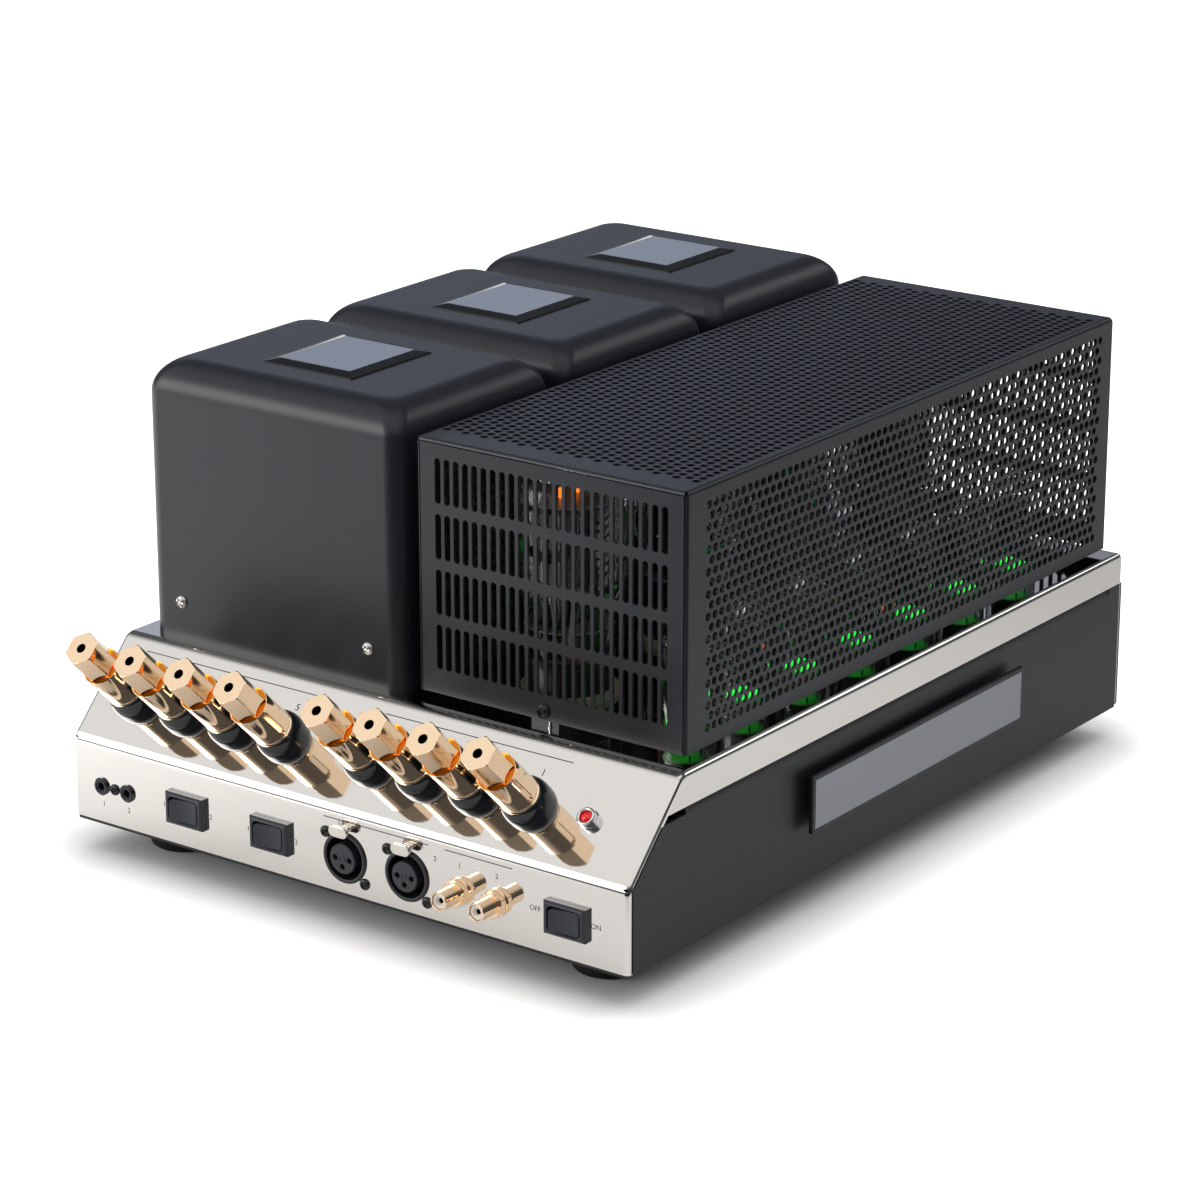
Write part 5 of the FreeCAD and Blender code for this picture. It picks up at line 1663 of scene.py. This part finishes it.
@dataclass
class Studio:
    """The floor, the light and the camera."""

    lens: float = 120.97
    eye: tuple[float, float, float] = (-1197.3, -862.8, 654.7)
    heading: float = 36.22
    dip: float = 18.58
    sensor: float = 36.0
    clip: tuple[float, float] = (0.05, 100.0)
    floor_size: float = 60.0
    floor_roughness: float = 0.9
    floor_specular: float = 0.1
    aim_height: float = 0.1
    room_colour: str = "#f2f6ff"
    room_level: float = 0.12
    fill_level: float = 0.45
    floor_colour: str = "#e4e4e4"
    # Painted dark reflection: the floor's colour where mirrors see it out in front and to the right
    painted_dark_reflection_colour: str = "#202226"
    # Painted shade: the floor's white lift fades out towards this footprint, darkening the ground round the
    # object on top of its real shadow
    footprint_middle: tuple[float, float, float] = (0.009, 0.003, 0.0)
    footprint_half: tuple[float, float, float] = (0.178, 0.13, 1.0)
    white_at: float = 0.08
    # Painted reflections: light added to the floor only for mirrors, towards the panel end and on the left
    mirrored_lift: float = 0.25
    mirrored_from: float = 0.4
    mirrored_full: float = 0.1
    left_painted_reflection_lift: float = 0.9
    left_from: float = 0.2
    left_full: float = 0.55
    left_way: tuple[float, float, float] = (-0.5, 0.87, 0.0)
    dark_reflection_way: tuple[float, float, float] = (-0.81, -0.59, 0.0)
    dark_reflection_from: float = 0.32
    dark_reflection_full: float = 0.46
    walls: tuple[Wall, ...] = (
        Wall((0.71, 0.62, 0.31), 0.955, 0.99, "#b4bbcc"), Wall((-0.604, 0.472, 0.643), 0.62, 0.97, "#ffffff"),
        Wall((-0.25, -0.35, 0.90), 0.72, 0.90, "#ffffff"))
    softboxes: tuple[Softbox, ...] = (
        Softbox("overhead", 0.0, 90.0, 2.1, 2.4, 2.4, 22.0, False),
        Softbox("low_left", 140.0, 15.0, 2.2, 1.3, 0.9, 18.0, True),
        Softbox("high_right", -25.0, 33.0, 2.4, 1.2, 0.5, 4.0, True))

    def build(self) -> None:
        """Set the stage."""
        self.build_floor()
        self.build_world()
        self.build_lights()
        self.build_camera()
        scene = bpy.context.scene
        scene.view_settings.view_transform = "Standard"

    def build_floor(self) -> None:
        """Lay a white floor with painted light and shade. Its white lift fades out towards the object's
        footprint, so the ground round the object is darker, partly its real shadow and partly painted shade.
        Mirrors see painted reflections on it: brighter towards the panel end and on the left, dark out in front
        and to the right.
        """
        bm = bmesh.new()
        bmesh.ops.create_grid(bm, x_segments=1, y_segments=1, size=self.floor_size / 2)
        mesh = bpy.data.meshes.new("floor")
        bm.to_mesh(mesh)
        bm.free()
        floor = bpy.data.objects.new("floor", mesh)
        bpy.context.scene.collection.objects.link(floor)
        made = bpy.data.materials.new("studio_floor")
        made.use_nodes = True
        tree = made.node_tree
        shader = tree.nodes["Principled BSDF"]
        shader.inputs["Roughness"].default_value = self.floor_roughness
        shader.inputs["Specular IOR Level"].default_value = self.floor_specular
        path = add_node(tree, "ShaderNodeLightPath", {})
        where = add_node(tree, "ShaderNodeTexCoord", {})
        along = add_node(tree, "ShaderNodeSeparateXYZ", {}, {0: where.outputs["Object"]})
        # Painted reflection: mirrors see the floor towards the panel end lifted
        near_painted_reflection = add_node(tree, "ShaderNodeMapRange",
                          {"From Min": self.mirrored_from, "From Max": self.mirrored_full,
                           "To Max": self.mirrored_lift}, {"Value": along.outputs["X"]})
        # Painted reflection: mirrors see the floor on the left lifted
        leftward = add_node(tree, "ShaderNodeVectorMath", {"operation": "DOT_PRODUCT", 1: self.left_way},
                            {0: where.outputs["Object"]})
        brighter = add_node(tree, "ShaderNodeMapRange",
                            {"From Min": self.left_from, "From Max": self.left_full, "To Max": self.left_painted_reflection_lift},
                            {"Value": leftward.outputs["Value"]})
        both = add_node(tree, "ShaderNodeMath", {"operation": "ADD"},
                        {0: near_painted_reflection.outputs[0], 1: brighter.outputs[0]})
        mirrored = add_node(tree, "ShaderNodeMath", {"operation": "MULTIPLY"},
                            {0: path.outputs["Is Glossy Ray"], 1: both.outputs[0]})
        # Painted dark reflection: mirrors see the floor out in front and to the right dark
        forward = add_node(tree, "ShaderNodeVectorMath", {"operation": "DOT_PRODUCT", 1: self.dark_reflection_way},
                           {0: where.outputs["Object"]})
        front = add_node(tree, "ShaderNodeMapRange", {"From Min": self.dark_reflection_from, "From Max": self.dark_reflection_full},
                         {"Value": forward.outputs["Value"]})
        dark = add_node(tree, "ShaderNodeMath", {"operation": "MULTIPLY"},
                        {0: path.outputs["Is Glossy Ray"], 1: front.outputs[0]})
        ground = add_node(tree, "ShaderNodeMix", {"data_type": "RGBA"}, {0: dark.outputs[0]})
        ground.inputs[6].default_value = linear(self.floor_colour)
        ground.inputs[7].default_value = linear(self.painted_dark_reflection_colour)
        tree.links.new(ground.outputs[2], shader.inputs["Base Color"])
        kept = add_node(tree, "ShaderNodeMath", {"operation": "SUBTRACT", 0: 1.0}, {1: front.outputs[0]})
        left_over = add_node(tree, "ShaderNodeMath", {"operation": "MULTIPLY"},
                             {0: mirrored.outputs[0], 1: kept.outputs[0]})
        seen = add_node(tree, "ShaderNodeMath", {"operation": "ADD"},
                        {0: path.outputs["Is Camera Ray"], 1: left_over.outputs[0]})
        shown = add_node(tree, "ShaderNodeMath", {"operation": "ADD"},
                         {0: seen.outputs[0], 1: path.outputs["Is Transmission Ray"]})
        # Painted shade: the white lift fades out towards the footprint, so the floor round the object stays
        # darker on top of its real shadow
        away = where.outputs["Object"]
        steps = (("SUBTRACT", self.footprint_middle), ("ABSOLUTE", None), ("SUBTRACT", self.footprint_half),
                 ("MAXIMUM", (0.0, 0.0, 0.0)), ("LENGTH", None))
        for operation, other in steps:
            settings = {"operation": operation} | ({1: other} if other else {})
            stage = add_node(tree, "ShaderNodeVectorMath", settings, {0: away})
            away = stage.outputs["Value" if operation == "LENGTH" else "Vector"]
        painted_shade_fade = add_node(tree, "ShaderNodeMapRange",
                          {"interpolation_type": "SMOOTHSTEP", "From Max": self.white_at}, {"Value": away})
        lift = add_node(tree, "ShaderNodeMath", {"operation": "MULTIPLY"},
                        {0: shown.outputs[0], 1: painted_shade_fade.outputs[0]})
        shader.inputs["Emission Color"].default_value = (1, 1, 1, 1)
        tree.links.new(lift.outputs[0], shader.inputs["Emission Strength"])
        mesh.materials.append(made)

    def build_world(self) -> None:
        """Surround the object with soft light, and let mirrors see a dim room with pale walls."""
        world = bpy.data.worlds.new("studio")
        bpy.context.scene.world = world
        world.use_nodes = True
        tree = world.node_tree
        background = tree.nodes["Background"]
        path = add_node(tree, "ShaderNodeLightPath", {})
        where = add_node(tree, "ShaderNodeTexCoord", {})
        room = tuple(self.room_level * c for c in linear(self.room_colour)[:3])
        for wall in self.walls:
            facing = add_node(tree, "ShaderNodeVectorMath", {"operation": "DOT_PRODUCT", 1: wall.direction},
                              {0: where.outputs["Generated"]})
            share = add_node(tree, "ShaderNodeMapRange",
                             {"interpolation_type": "SMOOTHSTEP", "From Min": wall.edge, "From Max": wall.core},
                             {"Value": facing.outputs["Value"]})
            mix = add_node(tree, "ShaderNodeMix", {"data_type": "RGBA"}, {0: share.outputs[0]})
            mix.inputs[7].default_value = linear(wall.colour)
            if isinstance(room, tuple):
                mix.inputs[6].default_value = room + (1.0,)
            else:
                tree.links.new(room, mix.inputs[6])
            room = mix.outputs[2]
        shown = add_node(tree, "ShaderNodeMath", {"operation": "SUBTRACT", 0: 1.0},
                         {1: path.outputs["Is Glossy Ray"]})
        lit = add_node(tree, "ShaderNodeMix", {"data_type": "RGBA"}, {0: shown.outputs[0], 6: room})
        lit.inputs[7].default_value = (1, 1, 1, 1)
        filled = add_node(tree, "ShaderNodeMix", {"data_type": "FLOAT", 2: 1.0, 3: self.fill_level},
                          {0: path.outputs["Is Diffuse Ray"]})
        tree.links.new(lit.outputs[2], background.inputs["Color"])
        tree.links.new(filled.outputs[0], background.inputs["Strength"])

    def build_lights(self) -> None:
        """Hang the softboxes: one overhead, a low one on the left and a weak one high on the right."""
        for box in self.softboxes:
            lamp = bpy.data.lights.new(box.name, "AREA")
            lamp.shape, lamp.size, lamp.size_y, lamp.energy = "RECTANGLE", box.width, box.height, box.power
            holder = bpy.data.objects.new(box.name, lamp)
            turn, lift = math.radians(box.azimuth), math.radians(box.elevation)
            away = Vector((math.cos(lift) * math.cos(turn), math.cos(lift) * math.sin(turn), math.sin(lift)))
            holder.location = away * box.distance + Vector((0, 0, self.aim_height))
            holder.rotation_euler = away.to_track_quat("Z", "Y").to_euler()
            holder.visible_glossy = box.mirrored
            bpy.context.scene.collection.objects.link(holder)

    def build_camera(self) -> None:
        """Place the camera where the photograph was taken from."""
        camera = bpy.data.cameras.new("camera")
        camera.lens, camera.sensor_width, camera.sensor_fit = self.lens, self.sensor, "HORIZONTAL"
        camera.clip_start, camera.clip_end = self.clip
        holder = bpy.data.objects.new("camera", camera)
        turn, dip = math.radians(self.heading), math.radians(self.dip)
        look = Vector((math.cos(dip) * math.cos(turn), math.cos(dip) * math.sin(turn), -math.sin(dip)))
        holder.location = CORNER + MM * Vector(self.eye)
        holder.rotation_euler = look.to_track_quat("-Z", "Y").to_euler()
        bpy.context.scene.collection.objects.link(holder)
        bpy.context.scene.camera = holder


def main() -> None:
    """Build the amplifier and its stage."""
    logging.basicConfig(level=logging.INFO, format="%(message)s")
    for node, finish in KEPT_NODES.items():
        frame["nodes"][node].data.materials.clear()
        frame["nodes"][node].data.materials.append(finish.material())
    for part in (Chassis(), Cans(), Cage(), Tubes(), Posts(), Panel(), Print(), Studio()):
        part.build()


if __name__ == "__main__":
    main()
